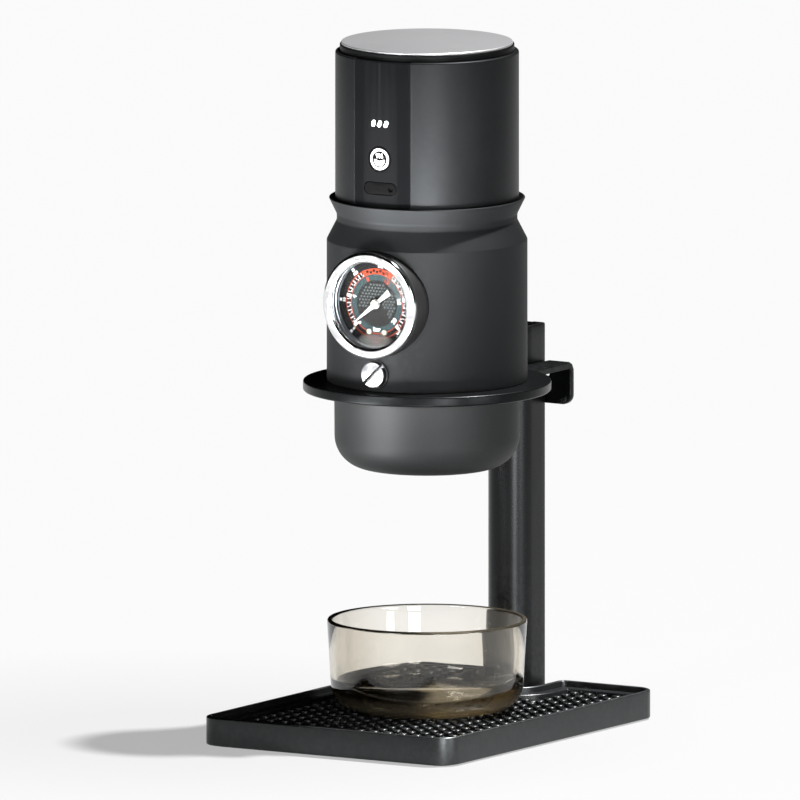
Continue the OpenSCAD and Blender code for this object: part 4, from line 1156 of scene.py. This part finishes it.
# ------------------------------------------------------------------ floor, light and camera
# soft boxes: angle from the camera, height, distance, width, depth, power (degrees, metres, watts)
BOXES = [
    # name, degrees round from the camera, height, distance, width, depth, watts, height aimed at, beam angle
    ("left_box", -40, 0.20, 0.35, 0.15, 0.15, 0.21, 0.19, 64),
    ("head_fill", 7, 0.26, 0.40, 0.13, 0.13, 0.070, 0.255, 44),
    ("front_box", 16, 0.05, 0.70, 0.20, 0.16, 2.4, 0.15, 180),
    ("right_box", 48, 0.11, 0.69, 0.30, 0.21, 1.2, 0.15, 180),
    ("low_left", -58, 0.02, 0.30, 0.14, 0.14, 0.72, 0.235, 44),
    ("low_front", -2, 0.02, 0.30, 0.14, 0.07, 0.42, 0.290, 34),
]
KEY_POWER = 18.0
# floor glow near the shadow point and far from it; the low near value is painted shadow
FLOOR_GLOW_AND_SHADE = (0.44, 0.535)
FLOOR_TONE = 0.08
SKY = 0.0


def studio():
    sc = bpy.context.scene
    sc.view_settings.view_transform = "Standard"
    sc.view_settings.look = "None"
    # pale floor, lit from above and glowing faintly from below like a light table
    fm = bpy.data.materials.new("floor_pale")
    fm.use_nodes = True
    t = fm.node_tree
    t.nodes.clear()
    out = t.nodes.new("ShaderNodeOutputMaterial")
    mix = t.nodes.new("ShaderNodeAddShader")
    dif = t.nodes.new("ShaderNodeBsdfDiffuse")
    dif.inputs[0].default_value = (FLOOR_TONE, FLOOR_TONE, FLOOR_TONE, 1)
    em = t.nodes.new("ShaderNodeEmission")
    em.inputs[0].default_value = (1, 1, 1, 1)
    # painted shadow: the floor's glow is dimmest round a point left of the object, where its cast shadow falls, and
    # grows paler away from it
    co = t.nodes.new("ShaderNodeTexCoord")
    shadow_distance = t.nodes.new("ShaderNodeVectorMath")
    shadow_distance.operation = "DISTANCE"
    shadow_distance.inputs[1].default_value = (-0.09, -0.05, 0)
    t.links.new(co.outputs["Object"], shadow_distance.inputs[0])
    shadow_ramp = t.nodes.new("ShaderNodeMapRange")
    for i, q in enumerate((0.05, 0.22, FLOOR_GLOW_AND_SHADE[0], FLOOR_GLOW_AND_SHADE[1])):
        shadow_ramp.inputs[i + 1].default_value = q
    t.links.new(shadow_distance.outputs["Value"], shadow_ramp.inputs[0])
    t.links.new(shadow_ramp.outputs[0], em.inputs[1])
    t.links.new(dif.outputs[0], mix.inputs[0])
    t.links.new(em.outputs[0], mix.inputs[1])
    t.links.new(mix.outputs[0], out.inputs["Surface"])
    me = bpy.data.meshes.new("floor")
    s = 8.0
    me.from_pydata([(-s, -s, 0), (s, -s, 0), (s, s, 0), (-s, s, 0)], [], [(0, 1, 2, 3)])
    fl = bpy.data.objects.new("floor", me)
    fl.data.materials.append(fm)
    sc.collection.objects.link(fl)

    w = bpy.data.worlds.new("studio")
    sc.world = w
    w.use_nodes = True
    bg = w.node_tree.nodes["Background"]
    bg.inputs[0].default_value = (1, 1, 1, 1)
    bg.inputs[1].default_value = SKY

    a, e = math.radians(31.3), math.radians(8.45)
    for name, az, height, dist, wide, deep, power, aim, beam in BOXES:
        d = bpy.data.lights.new(name, "AREA")
        d.shape = "ELLIPSE"
        d.size, d.size_y = wide, deep
        d.energy = power
        d.spread = math.radians(beam)
        o = bpy.data.objects.new(name, d)
        sc.collection.objects.link(o)
        ta = a + math.radians(az)
        o.location = Vector((math.sin(ta) * dist, -math.cos(ta) * dist, height))
        o.rotation_mode = "QUATERNION"
        o.rotation_quaternion = (Vector((0, 0, aim)) - o.location).to_track_quat("-Z", "Y")
    # key: high, behind and to the right, so that the shadow falls to the left
    d = bpy.data.lights.new("key", "SUN")
    d.angle = math.radians(3.0)
    d.energy = KEY_POWER
    o = bpy.data.objects.new("key", d)
    sc.collection.objects.link(o)
    o.rotation_mode = "QUATERNION"
    o.rotation_quaternion = Vector((-75, -81, -278)).to_track_quat("-Z", "Y")

    cd = bpy.data.cameras.new("camera")
    cd.type = "ORTHO"
    cd.ortho_scale = 0.3187
    cd.clip_start, cd.clip_end = 0.01, 20
    cam = bpy.data.objects.new("camera", cd)
    sc.collection.objects.link(cam)
    right = Vector((math.cos(a), math.sin(a), 0))
    up = Vector((-math.sin(a) * math.sin(e), math.cos(a) * math.sin(e), math.cos(e)))
    look = Vector((-math.sin(a) * math.cos(e), math.cos(a) * math.cos(e), -math.sin(e)))
    cam.location = right * (-0.0108) + up * 0.1323 - look * 1.2
    cam.rotation_mode = "QUATERNION"
    cam.rotation_quaternion = look.to_track_quat("-Z", "Y")
    sc.camera = cam


studio()
